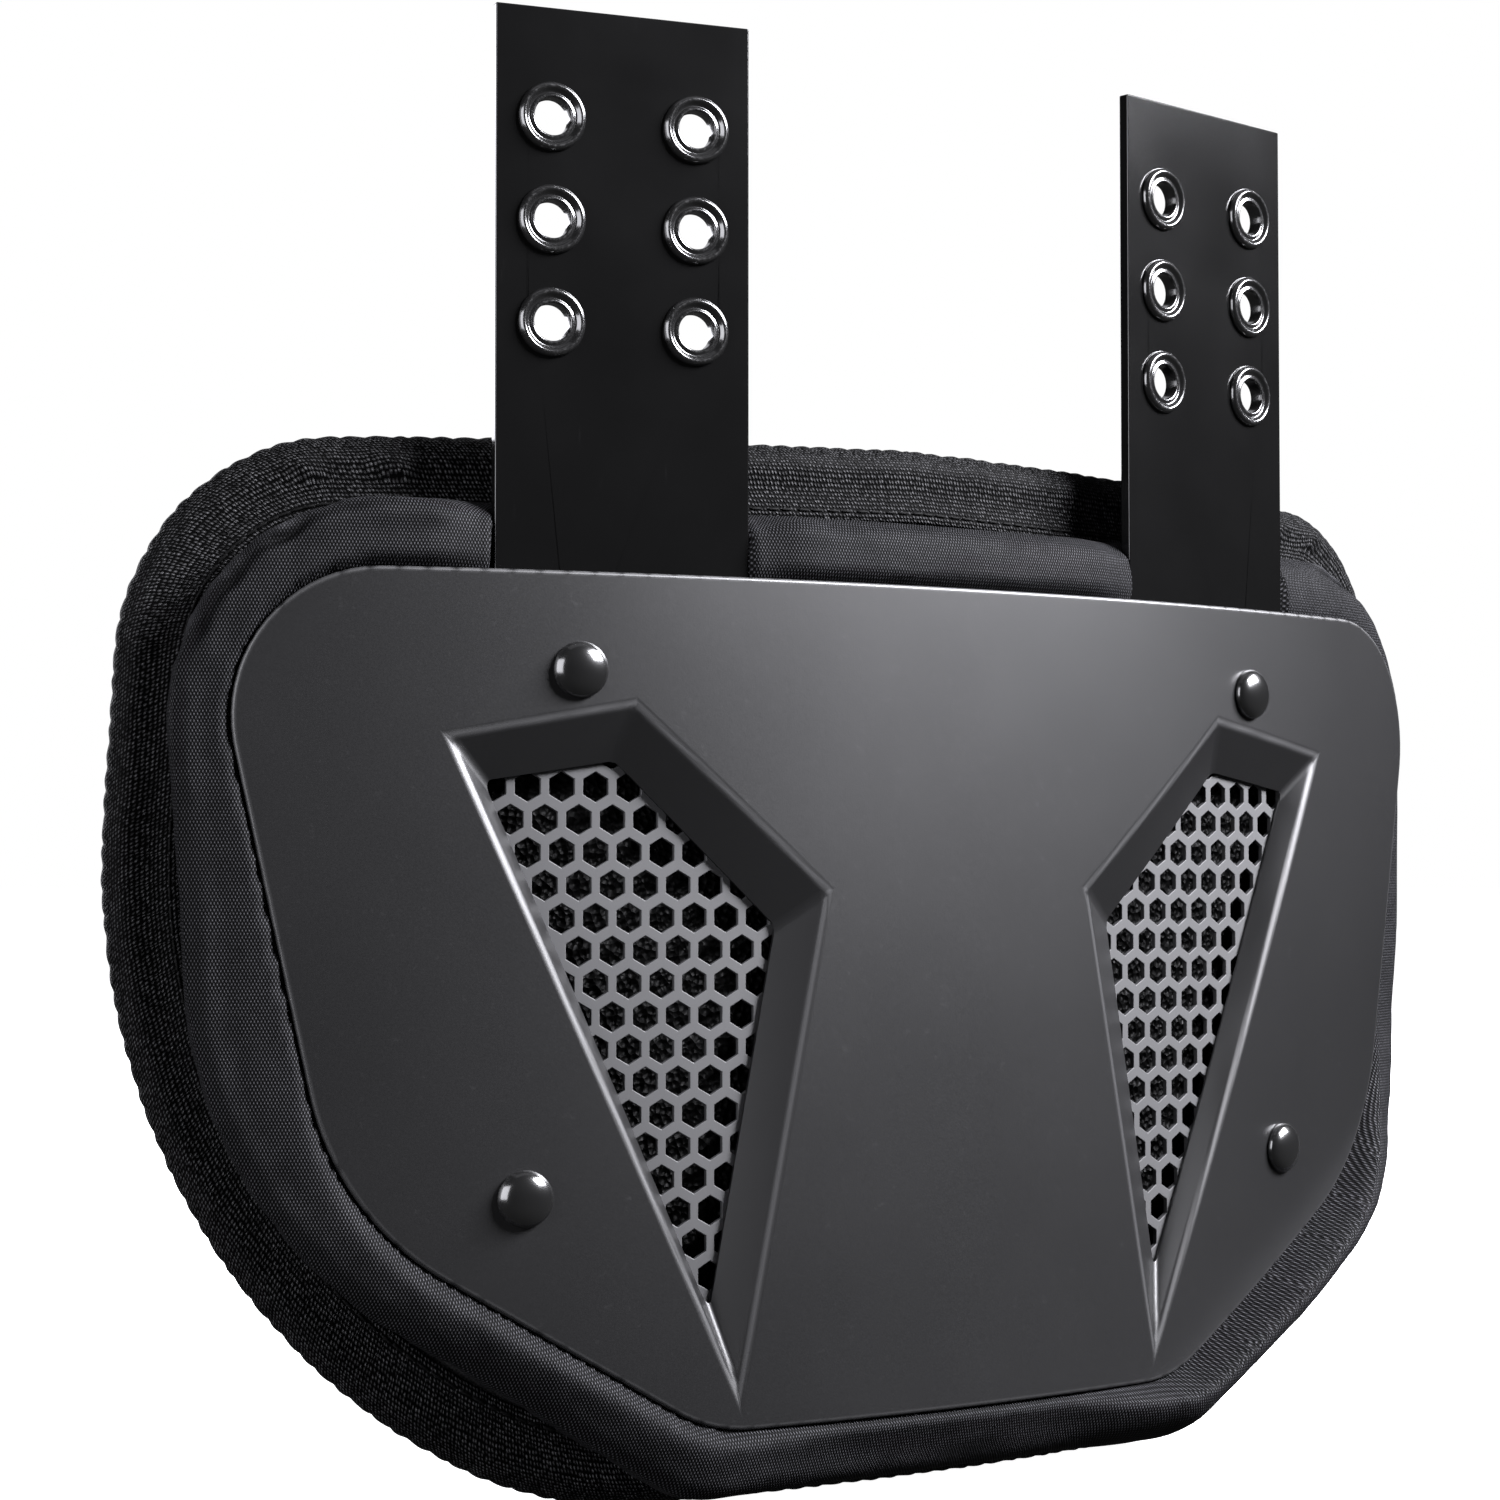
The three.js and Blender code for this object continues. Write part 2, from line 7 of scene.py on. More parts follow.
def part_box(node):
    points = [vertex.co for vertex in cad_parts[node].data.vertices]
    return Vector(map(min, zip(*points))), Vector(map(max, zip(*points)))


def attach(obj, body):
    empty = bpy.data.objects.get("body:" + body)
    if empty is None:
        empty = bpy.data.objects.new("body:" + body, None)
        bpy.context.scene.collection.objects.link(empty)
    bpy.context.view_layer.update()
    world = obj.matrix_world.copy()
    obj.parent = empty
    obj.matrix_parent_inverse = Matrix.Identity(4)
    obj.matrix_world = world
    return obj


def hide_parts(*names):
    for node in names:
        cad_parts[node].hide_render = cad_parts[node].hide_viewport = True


# a football back plate: a curved plastic plate with two grilled vents on a padded cushion,
# two flat straps with eyelets behind it, and a rear pad bound with webbing
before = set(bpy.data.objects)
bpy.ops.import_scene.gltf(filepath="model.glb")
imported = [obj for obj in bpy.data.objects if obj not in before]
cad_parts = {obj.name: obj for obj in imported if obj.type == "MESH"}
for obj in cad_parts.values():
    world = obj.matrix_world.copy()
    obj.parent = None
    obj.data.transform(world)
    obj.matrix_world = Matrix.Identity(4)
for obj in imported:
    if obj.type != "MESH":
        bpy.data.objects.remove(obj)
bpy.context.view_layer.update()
bpy.ops.object.select_all(action="DESELECT")
mm = 0.001
hands = ((-1, "Left"), (1, "Right"))
print("frame loaded")

# every curved piece is drawn flat as across, depth and height above the plate's top, then bent
back = {"radius": 452 * mm, "front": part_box("plate")[0].y, "top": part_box("plate")[1].z}


def bent(point):
    angle = point.x / back["radius"]
    reach = back["radius"] - point.y
    return Vector((
        reach * math.sin(angle),
        back["front"] + back["radius"] - reach * math.cos(angle),
        back["top"] + point.z,
    ))


def unbent(point):
    away = back["front"] + back["radius"] - point.y
    across = back["radius"] * math.atan2(point.x, away)
    return Vector((across, back["radius"] - math.hypot(point.x, away), point.z - back["top"]))


def levelNormals(mesh):
    # the shading normals of a flat drawing, exactly level on its face and its back
    level = {index for face in mesh.polygons if abs(face.normal.y) > 0.9999 for index in face.vertices}
    normals = []
    for loop, normal in zip(mesh.loops, mesh.corner_normals):
        x, y, z = normal.vector
        if loop.vertex_index in level and abs(y) > 0.8:
            x, y, z = 0, math.copysign(1, y), 0
        normals.append((x, y, z))
    return normals


def bendPiece(piece):
    # the shading normals turn with the surface, so that the flat drawing stays smooth once bent
    mesh = piece.data
    turned = []
    for loop, (x, y, z) in zip(mesh.loops, levelNormals(mesh)):
        angle = mesh.vertices[loop.vertex_index].co.x / back["radius"]
        turned.append((
            x * math.cos(angle) - y * math.sin(angle),
            x * math.sin(angle) + y * math.cos(angle),
            z,
        ))
    for vertex in mesh.vertices:
        vertex.co = bent(vertex.co)
    mesh.normals_split_custom_set(turned)


def standPiece(piece, across, depth, height):
    # a small piece drawn at the origin goes to its place on the bent drawing
    turn = Matrix.Rotation(across / back["radius"], 4, "Z")
    place = bent(Vector((across, depth, height)))
    piece.data.transform(Matrix.Translation(place) @ turn)


# camera

camera = {
    "place": (-0.39252, -0.57569, 0.14149),
    "heading": 31.753,  # degrees to the right of straight ahead
    "climb": 2.007,
    "lens": 71.52,
}


def aim(heading, climb):
    # a direction by degrees to the right of straight back, and degrees up
    heading, climb = math.radians(heading), math.radians(climb)
    level = math.cos(climb)
    return Vector((math.sin(heading) * level, math.cos(heading) * level, math.sin(climb)))


def addCamera():
    forward = aim(camera["heading"], camera["climb"])
    bpy.ops.object.camera_add(location=camera["place"])
    eye = bpy.context.object
    eye.rotation_euler = forward.to_track_quat("-Z", "Y").to_euler()
    eye.data.lens = camera["lens"]
    eye.data.sensor_width = 36
    eye.data.clip_start = 0.01
    bpy.context.scene.camera = eye


addCamera()
print("camera placed")


# drawing tools


def turnCorner(before, here, after, radius, steps=24):
    # the points of a rounded corner
    toBefore, toAfter = (before - here).normalized(), (after - here).normalized()
    half = math.acos(max(-1, min(1, toBefore.dot(toAfter)))) / 2
    centre = here + (toBefore + toAfter).normalized() * radius / math.sin(half)
    start = here + toBefore * radius / math.tan(half) - centre
    finish = here + toAfter * radius / math.tan(half) - centre
    turn = math.pi - 2 * half
    sense = 1 if start.cross(finish) > 0 else -1
    points = []
    for step in range(steps + 1):
        angle = sense * turn * step / steps
        points.append(centre + Vector((
            start.x * math.cos(angle) - start.y * math.sin(angle),
            start.x * math.sin(angle) + start.y * math.cos(angle),
        )))
    return points


def evenPoints(points, count):
    # the same closed run of points, evenly spaced
    lengths = [0]
    closed = points + [points[0]]
    for start, end in zip(closed, closed[1:]):
        lengths.append(lengths[-1] + (end - start).length)
    result, span = [], 0
    for index in range(count):
        goal = lengths[-1] * index / count
        while lengths[span + 1] < goal:
            span += 1
        share = (goal - lengths[span]) / max(lengths[span + 1] - lengths[span], 1e-12)
        result.append(closed[span].lerp(closed[span + 1], share))
    return result, lengths[-1]


def drawEdge(corners, count, arch=0):
    # evenly spaced points round a piece, from the middle of its top to the right, with directions out
    places = [Vector((across * mm, -drop * mm)) for across, drop, radius in corners]
    radii = [radius * mm for across, drop, radius in corners]
    ends = [Vector((0, places[0].y))] + places + [Vector((0, places[-1].y))]
    half = [ends[0]]
    for index, radius in enumerate(radii):
        half += turnCorner(ends[index], ends[index + 1], ends[index + 2], radius)
    half.append(ends[-1])
    reach = max(point.x for point in half)
    widest = next(point.y for point in half if point.x == reach)
    for point in half:
        if point.y > widest:
            point.y += arch * mm * (1 - (point.x / reach) ** 2)
    left = [Vector((-point.x, point.y)) for point in half[-2:0:-1]]
    points, length = evenPoints(half + left, count)
    out = []
    for index in range(count):
        along = points[(index + 1) % count] - points[index - 1]
        out.append(Vector((-along.y, along.x)).normalized())
    return {"points": points, "out": out, "length": length}


def loopAt(edge, inset, depth):
    # the edge's loop at a distance in from it and a depth behind the plate's face, in millimetres
    return [
        Vector((point.x - out.x * inset * mm, depth * mm, point.y - out.y * inset * mm))
        for point, out in zip(edge["points"], edge["out"])
    ]


def growCorners(corners, margin):
    # a closed outline of straight sides with each side moved out
    count = len(corners)
    grown = []
    for index, corner in enumerate(corners):
        toBefore = (corners[index - 1] - corner).normalized()
        toAfter = (corners[(index + 1) % count] - corner).normalized()
        half = math.acos(toBefore.dot(toAfter)) / 2
        grown.append(corner - (toBefore + toAfter).normalized() * margin / math.sin(half))
    return grown


def asLoop(corners, depth):
    return [Vector((corner.x, depth * mm, corner.y)) for corner in corners]


def isInside(point, corners):
    inside = False
    for index, corner in enumerate(corners):
        before = corners[index - 1]
        if (corner.y > point.y) != (before.y > point.y):
            share = (point.y - corner.y) / (before.y - corner.y)
            if point.x < corner.x + share * (before.x - corner.x):
                inside = not inside
    return inside


def startLoop(name, points):
    # a circle whose points go on to the drawn loop
    bpy.ops.object.select_all(action="DESELECT")
    bpy.ops.mesh.primitive_circle_add(vertices=len(points), radius=50 * mm, fill_type="NOTHING")
    piece = bpy.context.object
    piece.name = name
    piece.data.name = name
    for vertex, point in zip(piece.data.vertices, points):
        vertex.co = point
    return piece


def pickPieces(pieces):
    # selects the pieces and makes the first one active
    bpy.ops.object.select_all(action="DESELECT")
    for piece in pieces:
        piece.select_set(True)
    bpy.context.view_layer.objects.active = pieces[0]


def editPiece(piece):
    pickPieces([piece])
    bpy.ops.object.mode_set(mode="EDIT")
    bpy.ops.mesh.select_mode(type="VERT")


def pickAll():
    bpy.ops.mesh.select_all(action="SELECT")


def pointTree(points):
    # finds the nearest of many points
    tree = kdtree.KDTree(len(points))
    for index, point in enumerate(points):
        tree.insert(point, index)
    tree.balance()
    return tree


def growLoops(loops):
    # extrudes the selected loop through the drawn ones, each new point to its place in the next
    for here, there in zip(loops, loops[1:]):
        bpy.ops.mesh.extrude_edges_indiv()
        mesh = bmesh.from_edit_mesh(bpy.context.object.data)
        tree = pointTree(here)
        for vertex in mesh.verts:
            if vertex.select:
                vertex.co = there[tree.find(vertex.co)[1]]
        bmesh.update_edit_mesh(bpy.context.object.data)


def loftPiece(name, loops):
    # a skin through the loops, left in edit mode
    piece = startLoop(name, loops[0])
    editPiece(piece)
    pickAll()
    growLoops(loops)
    return piece


def pickEdges(test):
    bpy.ops.mesh.select_all(action="DESELECT")
    bpy.ops.mesh.select_mode(type="EDGE")
    mesh = bmesh.from_edit_mesh(bpy.context.object.data)
    for edge in mesh.edges:
        edge.select_set(test(edge))
    bmesh.update_edit_mesh(bpy.context.object.data)


def openEdgesAt(depth):
    # picks the open edges that lie at a depth
    def test(edge):
        flat = all(abs(vertex.co.y - depth * mm) < 1e-6 for vertex in edge.verts)
        return flat and len(edge.link_faces) < 2
    pickEdges(test)


def cutStations(reach, pitch):
    # cuts the flat drawing into upright strips, narrow enough to bend smoothly
    count = int(reach / pitch)
    for index in range(-count, count + 1):
        pickAll()
        bpy.ops.mesh.bisect(plane_co=(index * pitch, 0, 0), plane_no=(1, 0, 0))


def closePiece(smoothAngle=None):
    # closes the seams, turns the faces outwards and leaves edit mode
    pickAll()
    bpy.ops.mesh.remove_doubles(threshold=0.002 * mm)
    bpy.ops.mesh.normals_make_consistent(inside=False)
    bpy.ops.object.mode_set(mode="OBJECT")
    if smoothAngle is None:
        bpy.ops.object.shade_smooth()
    else:
        bpy.ops.object.shade_smooth_by_angle(angle=math.radians(smoothAngle))


def applyModifier(piece, kind, settings):
    modifier = piece.modifiers.new(kind.lower(), kind)
    for name, value in settings.items():
        setattr(modifier, name, value)
    pickPieces([piece])
    bpy.ops.object.modifier_apply(modifier=modifier.name)


def pierce(piece, holes, sides, sheet):
    # cuts holes through a drawn outline, then gives the sheet its thickness and rounded edges
    rings = [piece]
    for centre, radius in holes:
        bpy.ops.mesh.primitive_circle_add(
            vertices=sides, radius=radius, fill_type="NOTHING", location=centre, rotation=(math.pi / 2, 0, 0),
        )
        rings.append(bpy.context.object)
    pickPieces(rings)
    bpy.ops.object.join()
    editPiece(piece)
    pickAll()
    bpy.ops.mesh.fill(use_beauty=True)
    pickAll()
    bpy.ops.mesh.extrude_region_move(
        TRANSFORM_OT_translate={"value": (0, sheet["thickness"] * mm, 0)},
    )
    closePiece(30)
    applyModifier(piece, "BEVEL", {
        "width": sheet["bevel"] * mm, "segments": sheet["bevelSteps"], "limit_method": "ANGLE",
        "angle_limit": math.radians(40), "harden_normals": True,
    })


def settle(piece, node, slot, *paints):
    # the piece rides on the body and stands for its CAD node
    for paint in paints:
        piece.data.materials.append(paint)
    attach(piece, "root")
    if node:
        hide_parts(node)
    return piece


# finishes


class Wire:
    # an output socket that maths can be written on
    def __init__(self, paint, socket):
        self.paint, self.socket = paint, socket

    def out(self, name):
        return Wire(self.paint, self.socket.node.outputs[name])

    def maths(self, operation, *others):
        inputs = {index: value for index, value in enumerate((self,) + others)}
        return self.paint.node("ShaderNodeMath", {"operation": operation}, inputs)

    def __add__(self, other):
        return self.maths("ADD", other)

    __radd__ = __add__

    def __mul__(self, other):
        return self.maths("MULTIPLY", other)

    def __sub__(self, other):
        return self.maths("SUBTRACT", other)

    def __rsub__(self, other):
        return (self * -1) + other

    def __truediv__(self, other):
        return self.maths("DIVIDE", other)

    def __pow__(self, other):
        return self.maths("POWER", other)


class Paint:
    # a material under construction
    def __init__(self, name):
        self.material = bpy.data.materials.new(name)
        self.material.use_nodes = True
        self.tree = self.material.node_tree
        self.shader = self.tree.nodes["Principled BSDF"]

    def node(self, kind, settings=None, inputs=None):
        # any node: its settings first, then the values or links of its sockets
        made = self.tree.nodes.new(kind)
        for name, value in (settings or {}).items():
            if name == "stops":
                ramp = made.color_ramp
                while len(ramp.elements) < len(value):
                    ramp.elements.new(1)
                for element, (place, shade) in zip(ramp.elements, value):
                    element.position = place
                    element.color = (shade, shade, shade, 1)
            else:
                setattr(made, name, value)
        for key, value in (inputs or {}).items():
            if isinstance(key, int):
                socket = made.inputs[key]
            else:
                socket = next(each for each in made.inputs if each.enabled and each.name == key)
            self.feed(socket, value)
        return Wire(self, next(each for each in made.outputs if each.enabled))

    def feed(self, socket, value):
        if isinstance(value, Wire):
            self.tree.links.new(value.socket, socket)
        else:
            socket.default_value = value

    def place(self):
        return self.node("ShaderNodeTexCoord").out("Object")

    def pattern(self, name):
        # across and along of the piece's own pattern map, in metres
        flat = self.node("ShaderNodeUVMap", {"uv_map": name})
        apart = self.node("ShaderNodeSeparateXYZ", None, {"Vector": flat})
        return apart, apart.out("Y")

    def clouds(self, scale, detail=2.0, vector=None, roughness=0.5):
        inputs = {"Vector": vector or self.place(), "Scale": scale, "Detail": detail, "Roughness": roughness}
        return self.node("ShaderNodeTexNoise", None, inputs)

    def ramp(self, wire, stops):
        return self.node("ShaderNodeValToRGB", {"stops": stops}, {"Fac": wire})

    def hump(self, wire, middle, width):
        # a smooth hump of height one
        away = (wire - middle) / width
        return (away * away * -1).maths("EXPONENT")

    def mix(self, share, first, second):
        inputs = {"Factor": share, "A": first, "B": second}
        return self.node("ShaderNodeMix", {"data_type": "RGBA"}, inputs)

    def bump(self, height, distance, strength=1.0, under=None):
        inputs = {"Height": height, "Distance": distance, "Strength": strength}
        if under:
            inputs["Normal"] = under
        return self.node("ShaderNodeBump", None, inputs)

    def finish(self, **sockets):
        names = {
            "colour": "Base Color", "roughness": "Roughness", "normal": "Normal",
            "metallic": "Metallic", "coat": "Coat Weight", "coatRoughness": "Coat Roughness",
            "sheen": "Sheen Weight", "sheenRoughness": "Sheen Roughness", "sheenTint": "Sheen Tint",
            "specular": "Specular IOR Level",
        }
        for name, value in sockets.items():
            self.feed(self.shader.inputs[names[name]], value)
        return self.material


def grey(level, warmth=0.0):
    # a linear grey, a little blue where warmth is below nought
    return (level, level, level * (1 - warmth), 1)


plateLook = {
    "face": grey(0.003, -0.08), "worn": grey(0.012, -0.06), "roughness": 0.35, "grain": 2600,
    "specular": 0.88,
}


def plateFinish(name, face, roughness):
    # satin moulded plastic with a fine grain and duller edges
    paint = Paint(name)
    grain = paint.clouds(plateLook["grain"], 3)
    drift = paint.clouds(14, 3)
    scuffs = paint.ramp(paint.clouds(420, 4, roughness=0.7), [(0.62, 0), (0.78, 1)])
    edge = paint.node("ShaderNodeAttribute", {"attribute_name": "edgeWear"}).out("Fac")
    worn = edge * (0.35 + drift * 0.9)
    colour = paint.mix(worn, face, plateLook["worn"])
    colour = paint.mix(drift * 0.18, colour, grey(0.006, -0.06))
    rough = roughness + (grain - 0.5) * 0.08 + (drift - 0.5) * 0.06 + edge * 0.3 + scuffs * 0.05
    return paint.finish(
        colour=colour,
        roughness=rough,
        specular=plateLook["specular"],
        normal=paint.bump(grain + scuffs * 0.2, 0.012 * mm, 0.5),
    )


def strapFinish():
    # glossy black sheet with faint waviness and a few hair scratches
    paint = Paint("strapPlastic")
    place = paint.place()
    wave = paint.clouds(16, 1)
    stretched = paint.node("ShaderNodeMapping", None, {"Vector": place, "Scale": (1, 1, 0.06)})
    brushed = paint.clouds(900, 2, stretched)
    scratches = paint.ramp(brushed, [(0.74, 0), (0.82, 1)])
    smudge = paint.clouds(38, 4)
    return paint.finish(
        colour=paint.mix(scratches * 0.2, grey(0.002), grey(0.008)),
        roughness=0.12 + smudge * 0.07 + scratches * 0.06,
        specular=0.5,
        normal=paint.bump(wave, 0.9 * mm, 0.35),
    )


def metalFinish(name, wornShare):
    # black painted metal, rubbed bright in specks along its lips
    paint = Paint(name)
    edge = paint.node("ShaderNodeAttribute", {"attribute_name": "edgeWear"}).out("Fac")
    specks = paint.ramp(paint.clouds(1500, 3), [(0.5, 0), (0.62, 1)])
    rubbed = edge * specks * wornShare
    smudge = paint.clouds(120, 3)
    return paint.finish(
        colour=paint.mix(rubbed, grey(0.006), grey(0.22)),
        metallic=rubbed,
        roughness=0.16 + smudge * 0.08 + rubbed * 0.15,
        specular=0.7,
        coat=0.7,
        coatRoughness=0.1,
        normal=paint.bump(smudge, 0.03 * mm, 0.4),
    )


cushionLook = {
    "pitch": 0.71 * mm, "row": 0.69 * mm,  # spacing of the raised threads along and between rows
    "valley": grey(0.0002, -0.05), "thread": grey(0.074, -0.08),
    # the upper corners' crease, bumped, with painted shade in its valley and a painted highlight on its rim:
    # how far in its valley and its rim lie, their width and relief
    "valleyAt": 4.6 * mm, "rimAt": 1.5 * mm, "creaseWidth": 1.2 * mm, "creaseDeep": 1.8 * mm,
}


def cushionFinish():
    # plain oxford weave: raised threads in staggered rows, with a soft sheen, and painted shade and a painted
    # highlight along the upper corners' crease
    paint = Paint("cushionWeave")
    across, along = paint.pattern("cloth")
    wander = paint.clouds(55, 3)
    columns = (across * (2 * math.pi / cushionLook["pitch"]) + wander * 2.2).maths("COSINE")
    rows = (along * (math.pi / cushionLook["row"]) + wander * 1.4).maths("COSINE")
    dots = columns * rows * 0.5 + 0.5
    fibre = paint.clouds(5200, 2)
    slack = paint.clouds(160, 3)
    lift = (dots ** 4.6) * (0.45 + fibre * 0.9) * (0.5 + slack * 0.9)
    fold = paint.clouds(38, 3)
    # a valley inside a raised rim, bumped, with painted shade in the valley and a painted highlight on the
    # rim
    inset, strength = paint.pattern("crease")
    inset = inset.out("X")
    valley = paint.hump(inset, cushionLook["valleyAt"], cushionLook["creaseWidth"])
    rim = paint.hump(inset, cushionLook["rimAt"], cushionLook["creaseWidth"])
    crease = (rim * 0.8 - valley) * strength
    # painted shade: the colour darkens in the crease's valley
    shade = 1 - valley * strength * 0.75
    folds = paint.bump(crease, cushionLook["creaseDeep"], 1.0, paint.bump(fold, 1.6 * mm, 0.3))
    # the weave's raised threads plus a painted highlight along the crease's rim, all darkened by the painted
    # valley shade
    light = (lift + rim * strength * 0.25) * shade
    return paint.finish(
        colour=paint.mix(light, cushionLook["valley"], cushionLook["thread"]),
        roughness=0.7 - lift * 0.2,
        specular=0.05,
        normal=paint.bump(dots, 0.14 * mm, 0.8, folds),
    )


def foamFinish():
    # black open foam behind the grilles, with wet-looking glints
    paint = Paint("ventFoam")
    cells = paint.node(
        "ShaderNodeTexVoronoi", {"feature": "F1"}, {"Vector": paint.place(), "Scale": 620},
    ).out("Distance")
    lumps = paint.clouds(210, 3)
    return paint.finish(
        colour=paint.mix(lumps, grey(0.0004), grey(0.002)),
        roughness=0.35 + lumps * 0.3,
        specular=0.1,
        normal=paint.bump(cells + lumps, 1.4 * mm, 1.0),
    )


rearLook = {"pitch": 1.1 * mm, "yarn": grey(0.035), "gap": grey(0.006)}


def rearFinish():
    # fine knitted backing cloth
    paint = Paint("rearCloth")
    across, along = paint.pattern("cloth")
    waver = paint.clouds(70, 2)
    wale = (across * (2 * math.pi / rearLook["pitch"]) + waver).maths("SINE")
    course = (along * (2 * math.pi / rearLook["pitch"]) + waver).maths("SINE")
    loops = wale * course * 0.5 + 0.5
    return paint.finish(
        colour=paint.mix(loops * (0.6 + waver * 0.6), rearLook["gap"], rearLook["yarn"]),
        roughness=0.85 - loops * 0.15,
        specular=0.3,
        sheen=0.2,
        sheenRoughness=0.5,
        sheenTint=grey(0.5),
        normal=paint.bump(loops, 0.15 * mm, 0.8, paint.bump(paint.clouds(30, 2), 2 * mm, 0.3)),
    )


webbingLook = {
    "yarn": 0.9 * mm, "slant": 0.5, "scatter": 0.32,  # spacing, lean and disorder of the fat yarns
    # top: the painted glint colour of the yarn tops; valley: the near-black between them
    "top": grey(0.072, -0.03), "valley": grey(0.0001),
}


def webbingFinish():
    # coarse webbing: leaning rows of fat yarns, their tops painted light as glints that vary from yarn to
    # yarn
    paint = Paint("bindingTwill")
    along, across = paint.pattern("cloth")
    size = webbingLook["yarn"]
    spots = {"X": (along + across * webbingLook["slant"]) / size, "Y": across / size}
    rows = paint.node("ShaderNodeCombineXYZ", None, spots)
    disorder = {"Vector": rows, "Scale": 1, "Randomness": webbingLook["scatter"]}
    yarns = paint.node("ShaderNodeTexVoronoi", {"voronoi_dimensions": "2D"}, disorder)
    dots = (1 - yarns * 2.1).maths("MAXIMUM", 0)
    # the strength of each yarn's painted glint
    light = yarns.out("Color").maths("MULTIPLY", 1)  # each yarn's own brightness
    # painted glints: each yarn's top lighter in colour, by its own strength and in cloudy patches
    lift = (dots ** 1.4) * (0.1 + light * 1.4) * (0.3 + paint.clouds(300, 3) * 1.4)
    return paint.finish(
        colour=paint.mix(lift, webbingLook["valley"], webbingLook["top"]),
        roughness=0.6 - lift * 0.25,
        specular=0.04,
        normal=paint.bump(dots, 0.3 * mm, 1.0),
    )


def threadFinish():
    paint = Paint("stitchThread")
    twist = paint.clouds(3000, 2)
    return paint.finish(
        colour=paint.mix(twist, grey(0.0006), grey(0.003)),
        roughness=0.6 + twist * 0.2,
        specular=0.1,
        normal=paint.bump(twist, 0.1 * mm, 0.6),
    )


platePaint = plateFinish("platePlastic", plateLook["face"], plateLook["roughness"])
grillePaint = plateFinish("grillePlastic", grey(0.03, -0.06), 0.5)
strapPaint = strapFinish()
eyeletPaint = metalFinish("eyeletMetal", 0.12)
rivetPaint = metalFinish("rivetMetal", 0.08)
cushionPaint = cushionFinish()
foamPaint = foamFinish()
rearPaint = rearFinish()
webbingPaint = webbingFinish()
threadPaint = threadFinish()
print("finishes mixed")


# plate: a moulded shell with two sloped vents

plate = {
    "corners": [(174, 0, 31.3), (144.4, 134.5, 60.9), (63.5, 183, 33.9)],
    "points": 300,
    "thickness": 3, "edgeRound": 0.8, "edgeSteps": 4, "edgeBand": 1.2,
    "ventDepth": 4.8, "ventRim": 0.8, "ventBand": 1.6, "ventRound": 1.45, "ventSteps": 6,
    "trayShare": 0.25, "strip": 6, "dullBand": 1.1,
}
ventCorners = {  # across and drop on the right-hand side, where the slope starts and where it ends
    "top": [(81.08, 27.8), (84.18, 39.94)],
    "outer": [(121.5, 35.05), (113.24, 44.38)],
    "foot": [(57, 175.8), (62.16, 158.19)],
    "inner": [(35.5, 67.76), (46.25, 75.46)],
}


def ventLoop(side, share):
    # the vent's corners at a share of the way down its slope
    corners = []
    for mouth, floor in ventCorners.values():
        across = mouth[0] + (floor[0] - mouth[0]) * share
        drop = mouth[1] + (floor[1] - mouth[1]) * share
        corners.append(Vector((side * across * mm, -drop * mm)))
    return corners


def markEdges(piece, test):
    # how much each point is rubbed, kept as an attribute for the finish
    wear = piece.data.attributes.new("edgeWear", "FLOAT", "POINT")
    for vertex, value in zip(piece.data.vertices, wear.data):
        value.value = test(vertex.co)


